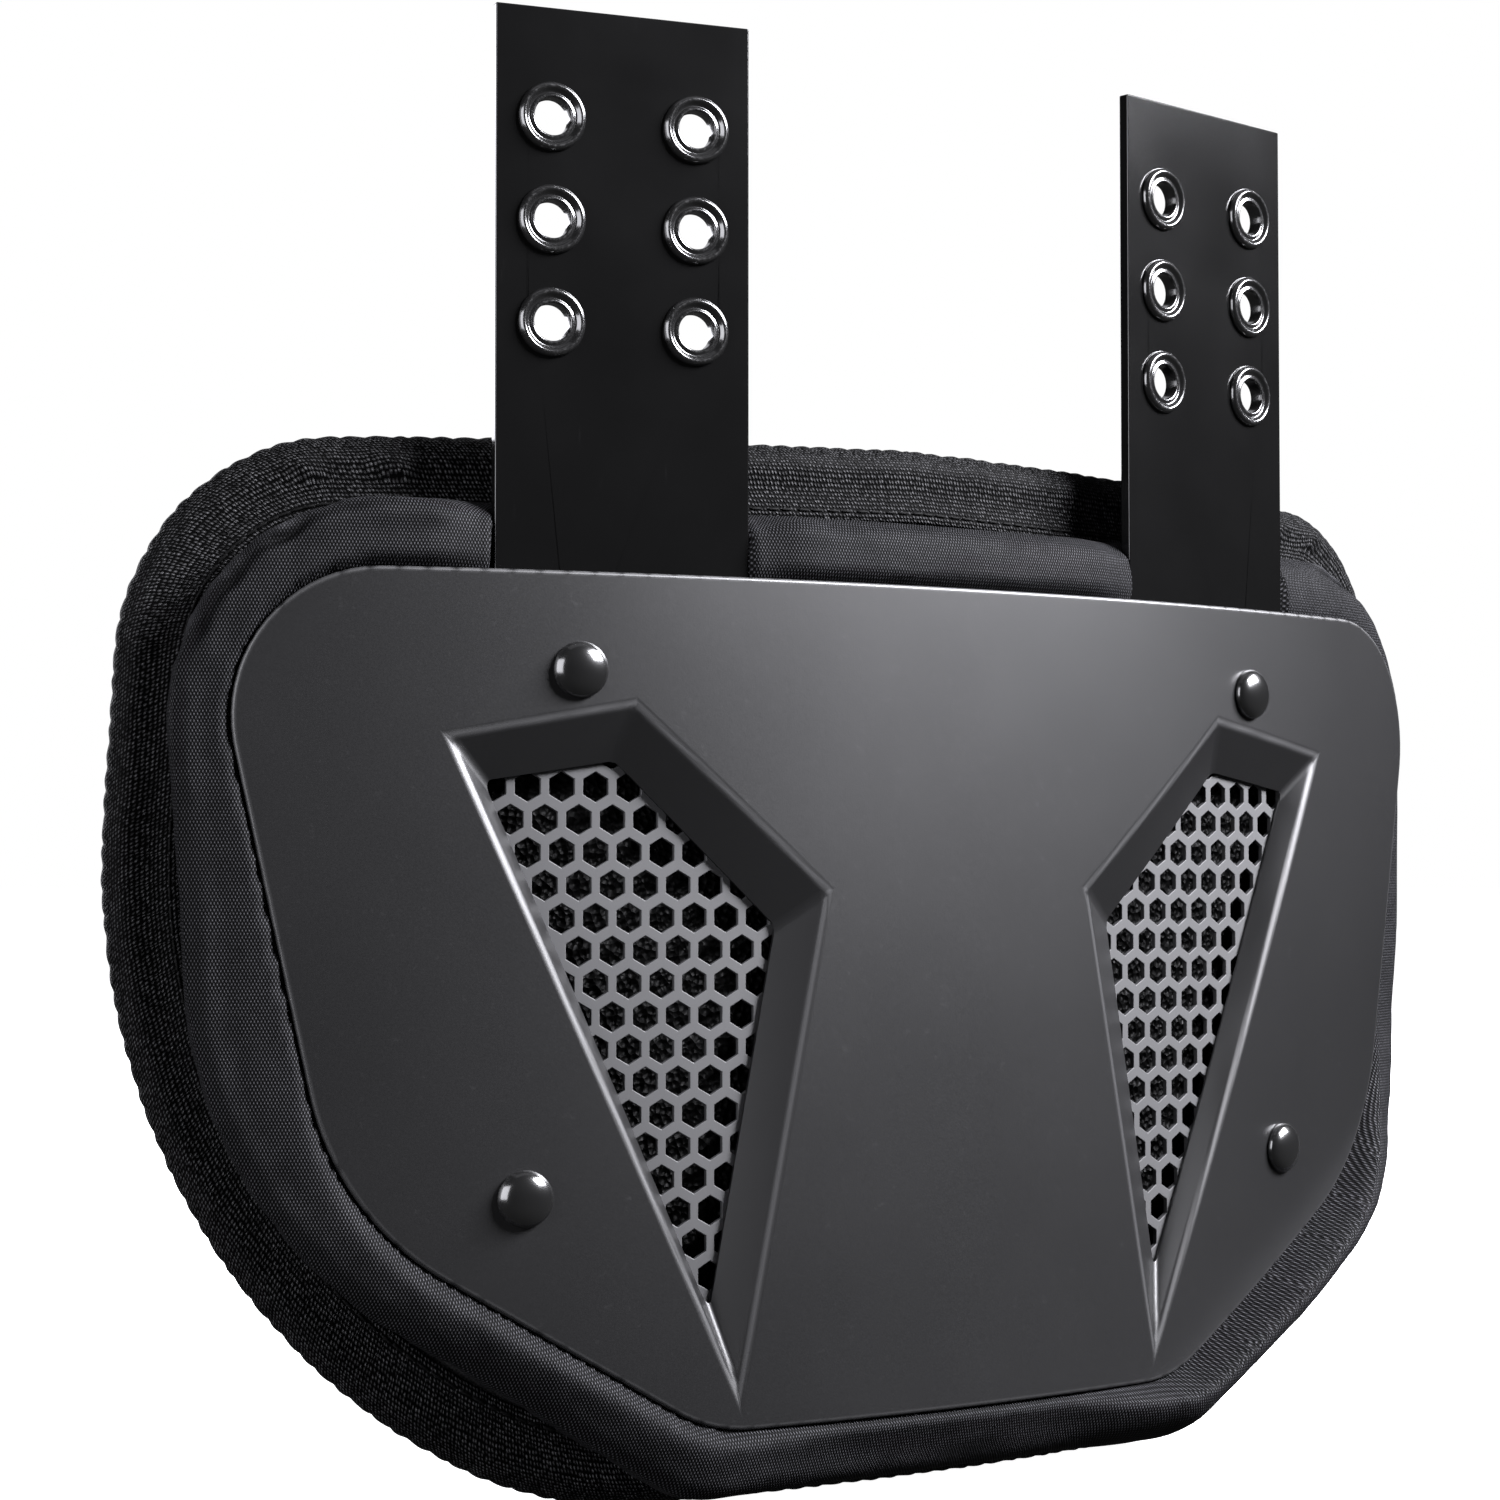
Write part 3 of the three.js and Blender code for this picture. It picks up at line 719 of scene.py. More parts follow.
def buildPlate():
    edge = drawEdge(plate["corners"], plate["points"])
    rounding, thickness = plate["edgeRound"], plate["thickness"]
    loops = [loopAt(edge, plate["edgeBand"], 0)]
    for step in range(plate["edgeSteps"] + 1):
        angle = math.pi / 2 * step / plate["edgeSteps"]
        loops.append(loopAt(edge, rounding * (1 - math.sin(angle)), rounding * (1 - math.cos(angle))))
    loops.append(loopAt(edge, 0, thickness - rounding / 2))
    loops.append(loopAt(edge, rounding / 4, thickness - rounding / 8))
    loops.append(loopAt(edge, rounding / 2, thickness))
    shell = loftPiece("plateShell", loops)
    bpy.ops.object.mode_set(mode="OBJECT")
    depth, rim = plate["ventDepth"], plate["ventRim"]
    for side in (-1, 1):
        ventLoops = [
            asLoop(growCorners(ventLoop(side, 0), plate["ventBand"] * mm), 0),
            asLoop(ventLoop(side, 0), 0),
            asLoop(ventLoop(side, 1), depth),
            asLoop(ventLoop(side, 1), depth + rim),
            asLoop(ventLoop(side, plate["trayShare"]), depth + rim),
            asLoop(ventLoop(side, plate["trayShare"]), thickness),
        ]
        vent = loftPiece("vent", ventLoops)
        pickAll()
        bpy.ops.mesh.normals_make_consistent(inside=False)
        # rounds the mouth and the creases between the slopes
        mouth, floor = ventLoops[1], ventLoops[2]

        def isSoft(edgeHere):
            onMouth = [min((vertex.co - point).length for point in mouth) < 1e-6 for vertex in edgeHere.verts]
            onFloor = [min((vertex.co - point).length for point in floor) < 1e-6 for vertex in edgeHere.verts]
            return all(onMouth) or (any(onMouth) and any(onFloor))

        pickEdges(isSoft)
        bpy.ops.mesh.bevel(
            offset_type="OFFSET", offset=plate["ventRound"] * mm, segments=plate["ventSteps"], profile=0.5,
        )
        bpy.ops.object.mode_set(mode="OBJECT")
        pickPieces([shell, vent])
        bpy.ops.object.join()
    # face and back
    editPiece(shell)
    for level in (0, thickness):
        openEdgesAt(level)
        bpy.ops.mesh.fill(use_beauty=True)
    bpy.ops.mesh.select_mode(type="VERT")
    cutStations(plate["corners"][0][0] * mm, plate["strip"] * mm)
    closePiece(50)
    applyModifier(shell, "WEIGHTED_NORMAL", {"mode": "FACE_AREA", "weight": 50, "keep_sharp": True})
    # the rubbed lines: the plate's edge and the vents' mouths
    lines = list(edge["points"])
    for side, word in hands:
        corners = ventLoop(side, 0)
        for index, corner in enumerate(corners):
            lines += [corner.lerp(corners[(index + 1) % 4], step / 50) for step in range(50)]
    tree = pointTree([(point.x, 0, point.y) for point in lines])

    def rubbed(place):
        away = tree.find((place.x, 0, place.z))[2]
        return max(0, 1 - away / (plate["dullBand"] * mm)) if place.y < thickness / 2 * mm else 0

    markEdges(shell, rubbed)
    bendPiece(shell)
    return settle(shell, "plate", "plate_plastic", platePaint)


buildPlate()
print("plate moulded")


# grilles: honeycomb sheets behind the vents

grille = {
    "front": 5.9, "thickness": 1.2, "lap": 6.2,
    "pitch": 7.6, "rowPitch": 7.0, "acrossCorners": 6.5, "overhang": 1.9,
    "across": 46.25, "drop": 38.5, "columns": 13, "rows": 20,  # where the honeycomb starts, and its reach
    "bevel": 0.18, "bevelSteps": 2,
}


def buildGrille(side, word):
    floor = ventLoop(side, 1)
    sheet = growCorners(floor, grille["lap"] * mm)
    reach = growCorners(floor, grille["overhang"] * mm)
    radius = grille["acrossCorners"] / 2 * mm
    piece = startLoop(f"grille{word}", asLoop(sheet, grille["front"]))
    holes = []
    for row in range(grille["rows"]):
        for column in range(-1, grille["columns"]):
            across = grille["across"] + (column + 0.5 * (row % 2)) * grille["pitch"]
            spot = Vector((side * across * mm, -(grille["drop"] + row * grille["rowPitch"]) * mm))
            if isInside(spot, reach):
                holes.append(((spot.x, grille["front"] * mm, spot.y), radius))
    pierce(piece, holes, 6, grille)
    front = (grille["front"] + grille["bevel"] * 1.2) * mm
    markEdges(piece, lambda place: 0.0 if place.y > front else 0.5)
    bendPiece(piece)
    return settle(piece, f"grille_{word.lower()}", "grille_plastic", grillePaint)


for side, word in hands:
    buildGrille(side, word)
print("grilles pierced")


# straps: flat sheets with square corners and eyelets

strap = {
    "middle": 82.3, "width": 57.4, "rise": 120.6, "tuck": 28, "thickness": 2.8, "front": 4.22,
    "bevel": 0.35, "bevelSteps": 3,
    "rivet": (93.3, 20.9), "rivetHole": 2.6,
    "columnPitch": 32.6, "rowPitch": 22, "topInset": 23.5, "rows": 3, "hole": 5.25,
}


def eyeletPlaces():
    return [
        (column * strap["columnPitch"] / 2, strap["rise"] - strap["topInset"] - row * strap["rowPitch"])
        for row in range(strap["rows"]) for column in (-1, 1)
    ]


def buildStrap(side, word):
    half = strap["width"] / 2 * mm
    top, foot = strap["rise"] * mm, -strap["tuck"] * mm
    piece = startLoop(f"strap{word}", [
        Vector((-half, 0, top)), Vector((half, 0, top)), Vector((half, 0, foot)), Vector((-half, 0, foot)),
    ])
    holes = [((across * mm, 0, height * mm), strap["hole"] * mm) for across, height in eyeletPlaces()]
    rivetAcross, rivetDrop = strap["rivet"]
    rivetSpot = (side * (rivetAcross - strap["middle"]) * mm, 0, -rivetDrop * mm)
    holes.append((rivetSpot, strap["rivetHole"] * mm))
    pierce(piece, holes, 40, strap)
    piece.data.normals_split_custom_set(levelNormals(piece.data))
    standPiece(piece, side * strap["middle"] * mm, 0, 0)
    inward = Matrix.Rotation(side * strap["middle"] * mm / back["radius"], 3, "Z") @ Vector((0, 1, 0))
    piece.data.transform(Matrix.Translation(inward * strap["front"] * mm))
    return settle(piece, f"strap_{word.lower()}", "strap_plastic", strapPaint)


for side, word in hands:
    buildStrap(side, word)
print("straps cut")


# eyelets and rivets: turned once, then copied with a mesh each


def turnPiece(name, profile, steps):
    # spins a run of radius and depth about the axis that points to the front
    points = [Vector((radius * mm, depth * mm, 0)) for radius, depth in profile]
    piece = startLoop(name, points)
    editPiece(piece)
    pickEdges(lambda edge: all(vertex.co.x < 1e-7 for vertex in edge.verts))
    bpy.ops.mesh.delete(type="EDGE")
    pickAll()
    bpy.ops.mesh.spin(steps=steps, angle=2 * math.pi, center=(0, 0, 0), axis=(0, 1, 0))
    closePiece(38)
    return piece


def copyPiece(piece, name):
    twin = piece.copy()
    twin.data = piece.data.copy()
    twin.name = name
    twin.data.name = name
    bpy.context.collection.objects.link(twin)
    return twin


eyelet = {
    "steps": 56, "innerLip": 4.4, "outerLip": 6.48,
    "profile": [  # radius and depth from the strap's front, all round the section
        (4.05, 2.5), (4.05, -0.55), (4.12, -0.78), (4.28, -0.92), (4.5, -0.94), (4.72, -0.84),
        (4.95, -0.68), (5.2, -0.62), (5.45, -0.7), (5.7, -0.95), (5.95, -1.22), (6.2, -1.42),
        (6.48, -1.5), (6.76, -1.42), (7.02, -1.2), (7.24, -0.9), (7.38, -0.6), (7.45, -0.3),
        (7.4, -0.12), (7.25, -0.06), (4.95, -0.06), (4.95, 2.5),
    ],
}


def buildEyelets():
    first = turnPiece("eyeletMaster", eyelet["profile"], eyelet["steps"])

    def rubbed(place):
        radius = math.hypot(place.x, place.z) / mm
        lips = 1 - abs(radius - eyelet["innerLip"]) / 0.5, 1 - abs(radius - eyelet["outerLip"]) / 0.4
        return max(0, *lips) * (place.y < -0.5 * mm)

    markEdges(first, rubbed)
    first.data.materials.append(eyeletPaint)
    for side, word in hands:
        for index, (across, height) in enumerate(eyeletPlaces()):
            twin = copyPiece(first, f"eyelet{word}{index + 1}")
            twin.data.transform(Matrix.Translation((across * mm, strap["front"] * mm, height * mm)))
            standPiece(twin, side * strap["middle"] * mm, 0, 0)
            settle(twin, f"eyelet_{word.lower()}_{index + 1}", "eyelet_metal")
    bpy.data.objects.remove(first)


buildEyelets()

rivet = {
    "steps": 64, "head": 6.0, "rise": 3.4, "lip": 0.5, "gap": 0.1, "domeSteps": 12,
    "shank": 2.0, "tail": 4.5, "tailThickness": 1.2, "chamfer": 0.3,
    "places": {"Upper": (93.3, 20.9, 7.32), "Lower": (105.1, 131.6, 8.0)},  # across, drop, grip
}


def rivetProfile(grip):
    head, rise, lip, gap = rivet["head"], rivet["rise"], rivet["lip"], rivet["gap"]
    tail, end, cut = rivet["tail"], grip + rivet["tailThickness"], rivet["chamfer"]
    run = [(0, end), (tail - cut, end), (tail, end - cut), (tail, grip), (rivet["shank"], grip)]
    run += [(rivet["shank"], -gap), (head - lip / 2, -gap), (head, -0.6 * lip), (head, -lip)]
    for step in range(1, rivet["domeSteps"] + 1):
        angle = math.pi / 2 * step / rivet["domeSteps"]
        run.append((head * math.cos(angle), -lip - (rise - lip) * math.sin(angle)))
    run[-1] = (0, -rise)
    return run


def buildRivets():
    def rubbed(place):
        return max(0, 1 - abs(math.hypot(place.x, place.z) / mm - rivet["head"]) / rivet["lip"])

    for word, (across, drop, grip) in rivet["places"].items():
        first = turnPiece("rivetMaster", rivetProfile(grip), rivet["steps"])
        markEdges(first, rubbed)
        first.data.materials.append(rivetPaint)
        for side, hand in hands:
            twin = copyPiece(first, f"rivet{word}{hand}")
            standPiece(twin, side * across * mm, 0, -drop * mm)
            settle(twin, f"rivet_{word.lower()}_{hand.lower()}", "rivet_metal")
        bpy.data.objects.remove(first)


buildRivets()
print("eyelets and rivets turned")


# padding: closed skins blown up a little like stuffed cloth

padding = {"reach": 210, "strip": 12, "airSteps": 20}  # the strips that bend it, and the time to swell


def swell(piece, voxel, pressure, cap):
    # blows a closed piece up, and holds each point within the cap
    applyModifier(piece, "REMESH", {"mode": "VOXEL", "voxel_size": voxel})
    start = [vertex.co.copy() for vertex in piece.data.vertices]
    cloth = piece.modifiers.new("air", "CLOTH")
    cloth.settings.use_pressure = True
    cloth.settings.uniform_pressure_force = pressure
    cloth.settings.effector_weights.gravity = 0
    cloth.point_cache.frame_start = 1
    cloth.point_cache.frame_end = padding["airSteps"]
    for step in range(1, padding["airSteps"] + 1):
        bpy.context.scene.frame_set(step)
    pickPieces([piece])
    bpy.ops.object.modifier_apply(modifier="air")
    for vertex, before in zip(piece.data.vertices, start):
        moved = vertex.co - before
        if moved.length > cap:
            vertex.co = before + moved * (cap / moved.length)
    bpy.context.scene.frame_set(1)


def buildPad(name, edge, layers, stuffing):
    # a closed pad through loops of inset and depth, bent, swollen and smoothed
    piece = loftPiece(name, [loopAt(edge, inset, depth) for inset, depth in layers])
    for depth in (layers[0][1], layers[-1][1]):
        openEdgesAt(depth)
        bpy.ops.mesh.fill(use_beauty=True)
    bpy.ops.mesh.select_mode(type="VERT")
    cutStations(padding["reach"] * mm, padding["strip"] * mm)
    closePiece()
    for vertex in piece.data.vertices:
        vertex.co = bent(vertex.co)
    swell(piece, stuffing["voxel"] * mm, stuffing["pressure"], stuffing["cap"] * mm)
    applyModifier(piece, "SUBSURF", {"levels": 1})
    return piece


def layDown(vertex, place):
    # back from the flat drawing, and never below the foot
    vertex.co = bent(place)
    vertex.co.z = max(vertex.co.z, 0)


def edgeFinder(edge):
    # for a point of the flat drawing: its distance in from the edge, and the direction out
    tree = pointTree([(point.x, point.y, 0) for point in edge["points"]])

    def find(place):
        spot, index, away = tree.find((place.x, place.z, 0))
        out = edge["out"][index]
        inset = -((place.x - spot.x) * out.x + (place.z - spot.y) * out.y)
        return inset, out, index
    return find


def smoothstep(low, high, value):
    share = max(0, min(1, (value - low) / (high - low)))
    return share * share * (3 - 2 * share)


cushion = {
    "corners": [(184.8, -18, 49.7), (175.2, 135.8, 97.8), (68.9, 201.4, 20.4)],
    "points": 420, "front": 3.3, "thickness": 14.7, "margin": 18,
    "wall": [(0.62, 0), (0.36, 0.09), (0.2, 0.25), (0.06, 0.45), (0, 0.62), (0, 0.93), (0.07, 1)],
    "slack": 0.9,  # how much smaller it is before it swells
    "voxel": 3.6, "pressure": 4, "cap": 1.7,
    "strapGap": 0.4, "chamberFloor": 11.1,
    "lumps": 0.45, "lumpPitch": 26, "chamberGap": 0.8, "trayGap": 0.6, "wallSwell": 0.6, "faceSwell": 0.7,
    # how far the ridge bulges forward, by the drop below the plate's top
    "bulge": [(100, 0), (116, 2.6), (127, 5.2), (137, 8.8), (147, 12), (157, 13.8), (166, 14.2),
              (176, 13), (186, 10.6), (195, 8), (202, 5)],
    "leftShare": 0.3,  # how much of it the left-hand corner has
    "lift": 2.9,  # how far the left side swells up beside the plate's edge
    "crest": 3.0,  # how far the ridge of the left side stands out where its wall turns back
    "sag": 3.0,  # how far the lower edge's front falls back
    "tuck": 1.4,  # how far the cloth reaches up to the plate's edge
    "calm": 0.85,  # the share of the lift and crest that the straps hold down
    # ramps in millimetres, each from nought to full: in from the cushion's edge
    "ridgeIn": (13, 5), "bulgeIn": (-2.5, 12), "crestIn": (11, 3.5), "crestLip": (-0.5, 2),
    "liftIn": (-0.5, 3),
    # in from the plate's edge, and how deep behind its face
    "bulgePast": (-0.3, -3.6), "liftPast": (0.9, -1.4), "bulgeDeep": (17, 7), "sideDeep": (17, 9),
    # across from the middle, to either side or to the left, and out from a strap's edge
    "cornerAcross": (24, 68), "crestAcross": (60, -100), "liftAcross": (100, 40), "calmAway": (15, 1),
    "sagDrop": (178, 190), "sagMiddle": 7.5, "sagWidth": 10.5,
    # the fold along the upper corners: centre as across and drop, angles of its ends, valley, rim
    "fold": {
        "centre": (135, 32), "foot": (8, 32), "head": (98, 76),
        "inset": 4.4, "width": 1.5, "deep": 1.5, "rim": 0.9, "rimIn": 1.3,
    },
}


def readRun(run, spot):
    # the height of a run of straight lines at a spot, and none outside it
    for (low, first), (high, last) in zip(run, run[1:]):
        if low <= spot < high:
            return first + (last - first) * (spot - low) / (high - low)
    return 0


def foldAt(place, inset):
    # how far the cloth sinks or rises along the fold of an upper corner, how strong it is and its drift
    fold = cushion["fold"]
    across, drop = fold["centre"]
    angle = math.degrees(math.atan2(place.z / mm + drop, abs(place.x) / mm - across))
    reach = smoothstep(*fold["foot"], angle) * smoothstep(*fold["head"], angle)
    wave = noise.noise(Vector((angle / 14, 0.4 if place.x > 0 else 5.2, 0)))
    valley = (inset - fold["inset"] - 1.6 * wave) / (fold["width"] * (1 + 0.4 * wave))
    rim = (inset - 0.6 * wave) / fold["rimIn"] - 1
    height = fold["rim"] * math.exp(-rim * rim) - fold["deep"] * (0.8 + wave) * math.exp(-valley * valley)
    return reach * height, reach, wave


def buildCushion():
    edge = drawEdge(cushion["corners"], cushion["points"])
    small = cushion["slack"]
    front, thick = cushion["front"], cushion["thickness"]
    layers = []
    for inset, depth in cushion["wall"]:
        level = min(max(front + depth * thick, front + small / 2), front + thick - small / 2)
        layers.append((inset * cushion["margin"] + small, level))
    pad = buildPad("cushionPad", edge, layers, cushion)
    find = edgeFinder(edge)
    plateFind = edgeFinder(drawEdge(plate["corners"], plate["points"]))
    roomReach, trayReach = (grille["lap"] + cushion["chamberGap"]) * mm, cushion["trayGap"] * mm
    rooms = [growCorners(ventLoop(side, 1), roomReach) for side in (-1, 1)]
    trays = [growCorners(ventLoop(side, plate["trayShare"]), trayReach) for side in (-1, 1)]

    def ramp(name, value):
        return smoothstep(*cushion[name], value)

    flat, creases = [], []
    for vertex in pad.data.vertices:
        place = unbent(vertex.co)
        inset, out, index = find(place)
        within, depth = inset / mm, place.y / mm
        isFront = depth < front + thick * 0.55
        alongSide = ramp("sideDeep", depth)
        # lumps of the stuffing along the ridge, the lower corners' bulge and the upper corners' fold
        lump = noise.noise(Vector((place.x, place.z, 3.1)) / (cushion["lumpPitch"] * mm))
        rise, reach, wave = foldAt(place, within)
        # the fold's place and strength, kept for its bump and for its painted shade and highlight
        creases.append((inset - 1.6 * wave * mm, reach * (0.75 + wave) * alongSide))
        push = (cushion["lumps"] * lump + rise) * mm * ramp("ridgeIn", within)
        place.x += out.x * push * cushion["wallSwell"]
        place.z += out.y * push * cushion["wallSwell"]
        place.y -= push * cushion["faceSwell"]
        across, drop, plateWithin = place.x / mm, -place.z / mm, plateFind(place)[0] / mm
        bulge = readRun(cushion["bulge"], drop) * ramp("bulgeIn", within)
        bulge *= ramp("bulgePast", plateWithin) * ramp("bulgeDeep", depth)
        if across < 0:
            bulge *= cushion["leftShare"]
        corner = ramp("cornerAcross", abs(across))
        fall = max(0, 1 - ((within - cushion["sagMiddle"]) / cushion["sagWidth"]) ** 2)
        bulge = bulge * corner - cushion["sag"] * fall * ramp("sagDrop", drop) * (1 - corner)
        crest = cushion["crest"] * ramp("crestIn", within) * ramp("crestLip", within)
        crest *= ramp("crestAcross", across) * alongSide
        atPlate = ramp("liftPast", plateWithin)
        lift = cushion["lift"] * atPlate * ramp("liftIn", within)
        lift *= ramp("liftAcross", across) * alongSide
        local = abs(across) - strap["middle"]
        if drop < 40:
            # beside the straps the cloth stays low
            calm = 1 - cushion["calm"] * ramp("calmAway", abs(local) - strap["width"] / 2)
            crest, lift = crest * calm, lift * calm
        depth = place.y / mm - bulge - crest - lift
        if isFront:
            floor = front - (cushion["tuck"] + max(0, bulge) + lift) * atPlate
            if abs(local) < strap["width"] / 2 + 0.3 and drop < strap["tuck"] + 1:
                # the strap is flat, so its back lies deeper at the middle than at its edges
                backReach = back["radius"] / mm - strap["front"] - strap["thickness"]
                lean = back["radius"] / mm - backReach / math.cos(local * mm / back["radius"])
                floor = max(floor, lean + cushion["strapGap"])
            spot = Vector((place.x, place.z))
            if any(isInside(spot, tray) for tray in trays) or any(isInside(spot, room) for room in rooms):
                floor = cushion["chamberFloor"]
            depth = max(depth, floor)
        place.y = min(depth, front + thick) * mm
        flat.append((place.copy(), inset, out))
        layDown(vertex, place)
    mapCloth(pad, flat, front * mm)
    layer = pad.data.uv_layers.new(name="crease")
    for loop in pad.data.loops:
        layer.data[loop.index].uv = creases[loop.vertex_index]
    pickPieces([pad])
    bpy.ops.object.shade_smooth()
    settle(pad, "cushion", "cushion_fabric", cushionPaint, foamPaint)
    for face in pad.data.polygons:
        middle = unbent(face.center)
        spot = Vector((middle.x, middle.z))
        if middle.y > 8 * mm and face.normal.y < -0.3 and any(isInside(spot, room) for room in rooms):
            face.material_index = 1
    return pad


def mapCloth(piece, flat, front):
    # lays the cloth's pattern flat on the face and rolls it down the sides
    layer = piece.data.uv_layers.new(name="cloth")
    for loop in piece.data.loops:
        place, inset, out = flat[loop.vertex_index]
        roll = max(0, place.y - front) * smoothstep(16 * mm, 9 * mm, inset)
        layer.data[loop.index].uv = (place.x + out.x * roll, place.z + out.y * roll)


buildCushion()
print("cushion stuffed")


rear = {
    "corners": [(188.7, -26.1, 46.8), (199.1, 145.1, 144.9), (94.7, 201.4, 97.9)],
    "arch": 7, "points": 420, "front": 18.3, "thickness": 10,
    "webbing": 17, "wall": 1.6, "gap": 0.3, "slack": 0.8,
    "voxel": 4.2, "pressure": 5, "cap": 2.2,
    "lap": 3, "shoulder": 2, "side": 4,  # how the skin runs in past the webbing and round its fold
    "step": (4, 0.5),  # where the step under the webbing starts and ends, in from its inner edge
    "crown": 1.2,  # how far the back stands out
}


def buildRearPad():
    edge = drawEdge(rear["corners"], rear["points"], rear["arch"])
    step, small = rear["wall"] + rear["gap"], rear["slack"]
    front, rearward = rear["front"], rear["front"] + rear["thickness"]
    inner, outer, side = rear["webbing"] + rear["lap"], step + small, rear["side"]
    shoulder = step + rear["shoulder"] + small
    layers = [
        (inner, front + small), (shoulder, front + step + small / 2), (outer, front + side),
        (outer, rearward - side), (shoulder, rearward - step - small / 2), (inner, rearward - small),
    ]
    pad = buildPad("rearPad", edge, layers, rear)
    find = edgeFinder(edge)
    flat = []
    for vertex in pad.data.vertices:
        place = unbent(vertex.co)
        inset, out, index = find(place)
        depth = place.y / mm
        under = smoothstep(*rear["step"], inset / mm - rear["webbing"])
        low = front + step * under
        high = rearward + rear["crown"] * (1 - under) - step * under
        place.y = min(max(depth, low), high) * mm
        if inset < step * mm:
            shift = step * mm - inset
            place.x -= out.x * shift
            place.z -= out.y * shift
        flat.append((place.copy(), inset, out))
        layDown(vertex, place)
    mapCloth(pad, flat, front * mm)
    pickPieces([pad])
    bpy.ops.object.shade_smooth()
    return settle(pad, "rear_pad", "rear_fabric", rearPaint)


buildRearPad()
print("rear pad stuffed")


# webbing: folded over the rear pad's edge and sewn down

webbing = {
    "points": 1720, "wall": 1.5, "bite": 0.42, "bitePitch": 5.2, "drift": 1.6, "lump": 0.25,
    "middle": 5,  # the depth that parts its front from its back
    "crown": 1.0, "crownWidth": 9.5,
    "pleatHeight": 0.9, "pleatWidth": 4.2, "pleatLean": 0.8,
    "pleats": [0.121, 0.140],  # their places as shares of the way round, each with its mirrored twin
    # ramps in from the fold, each from nought to full
    "biteIn": (4, 0.5), "pleatIn": (1, 6), "pleatOut": (10.5, 8.5), "lumpFace": (10, 7), "lumpSide": (6, 2),
    "section": [  # inset and depth from the fold's front, round the outside from front to back
        (17, 0), (15.5, -0.05), (12.5, -0.1), (10, -0.1), (8, 0), (6, 0), (4.5, 0.05), (3.2, 0.25),
        (2.1, 0.65), (1.2, 1.3), (0.5, 2.2), (0.1, 3.3), (0, 4.4), (0, 5.6), (0.1, 6.7),
        (0.5, 7.8), (1.2, 8.7), (2.1, 9.35), (3.2, 9.75), (4.5, 9.95), (8, 10), (12.5, 10), (17, 10),
    ],
}


def buildWebbing():
    edge = drawEdge(rear["corners"], webbing["points"], rear["arch"])
    count = webbing["points"]
    spacing = edge["length"] / count
    outside = webbing["section"]
    inside = []
    for index, (inset, depth) in enumerate(outside):
        # the inner face follows the outer one at the webbing's thickness
        before, after = outside[max(index - 1, 0)], outside[min(index + 1, len(outside) - 1)]
        along = Vector((after[0] - before[0], after[1] - before[1])).normalized()
        inside.append((inset - along.y * -webbing["wall"], depth + along.x * -webbing["wall"]))
    section = outside + inside[::-1]

    def ramp(name, value):
        return smoothstep(*webbing[name], value)

    def worn(index, inset, depth):
        share, along = index / count, index * spacing / mm
        crown = webbing["crown"] * math.sin(math.pi * max(0, min(1, 1 - inset / webbing["crownWidth"])))
        drift = along + webbing["drift"] * noise.noise(Vector((along / 5, 2.2, 0)))
        bite = webbing["bite"] * abs(math.sin(math.pi * drift / webbing["bitePitch"]))
        pleat = 0
        for middle in webbing["pleats"]:
            for each in (middle, 1 - middle):
                turn = 1 if each < 0.5 else -1  # the folds lean away from the corner
                away = (share - each) * edge["length"] / mm + turn * (inset - 8) * webbing["pleatLean"]
                pleat += webbing["pleatHeight"] * math.exp(-((away / webbing["pleatWidth"]) ** 2))
        lump = webbing["lump"] * noise.noise(Vector((along / 9, depth / 6, 0.7)))
        pleat *= ramp("pleatIn", inset) * ramp("pleatOut", inset)
        rise = crown + pleat + lump * ramp("lumpFace", inset)
        shift = bite * ramp("biteIn", inset) + lump * 0.6 * ramp("lumpSide", inset)
        return inset - shift, depth - rise * (depth < webbing["middle"])

    loops = []
    for inset, depth in section:
        points = []
        for index, (point, out) in enumerate(zip(edge["points"], edge["out"])):
            shifted, level = worn(index, inset, depth)
            points.append(Vector((
                point.x - out.x * shifted * mm,
                (rear["front"] + level) * mm,
                point.y - out.y * shifted * mm,
            )))
        loops.append(points)
    piece = loftPiece("edgeWebbing", loops + [loops[0]])
    closePiece()
    # the pattern runs along the edge and round the fold
    find = edgeFinder(edge)
    layer = piece.data.uv_layers.new(name="cloth")
    middle = (rear["front"] + rear["thickness"] / 2) * mm
    for face in piece.data.polygons:
        spots = []
        for loopIndex in face.loop_indices:
            place = piece.data.vertices[piece.data.loops[loopIndex].vertex_index].co
            inset, out, index = find(place)
            roll = place.y - middle
            across = roll + (inset if roll > 0 else -inset)
            spots.append((loopIndex, index * spacing, across))
        wrap = max(along for loopIndex, along, across in spots) > edge["length"] * 0.9
        for loopIndex, along, across in spots:
            if wrap and along < edge["length"] * 0.1:
                along += edge["length"]
            layer.data[loopIndex].uv = (along, across)
    for vertex in piece.data.vertices:
        layDown(vertex, vertex.co)
    return settle(piece, "edge_binding", "binding_webbing", webbingPaint)


buildWebbing()
print("webbing folded")


stitch = {
    "points": 1200, "length": 2.9, "gap": 1.1, "radius": 0.32, "inset": 14.6,
    "core": 0.6, "tip": 0.2, "taper": 0.35,  # shares of the length and of the radius
    "proudFront": 0.12, "proudBack": 0.05,
}


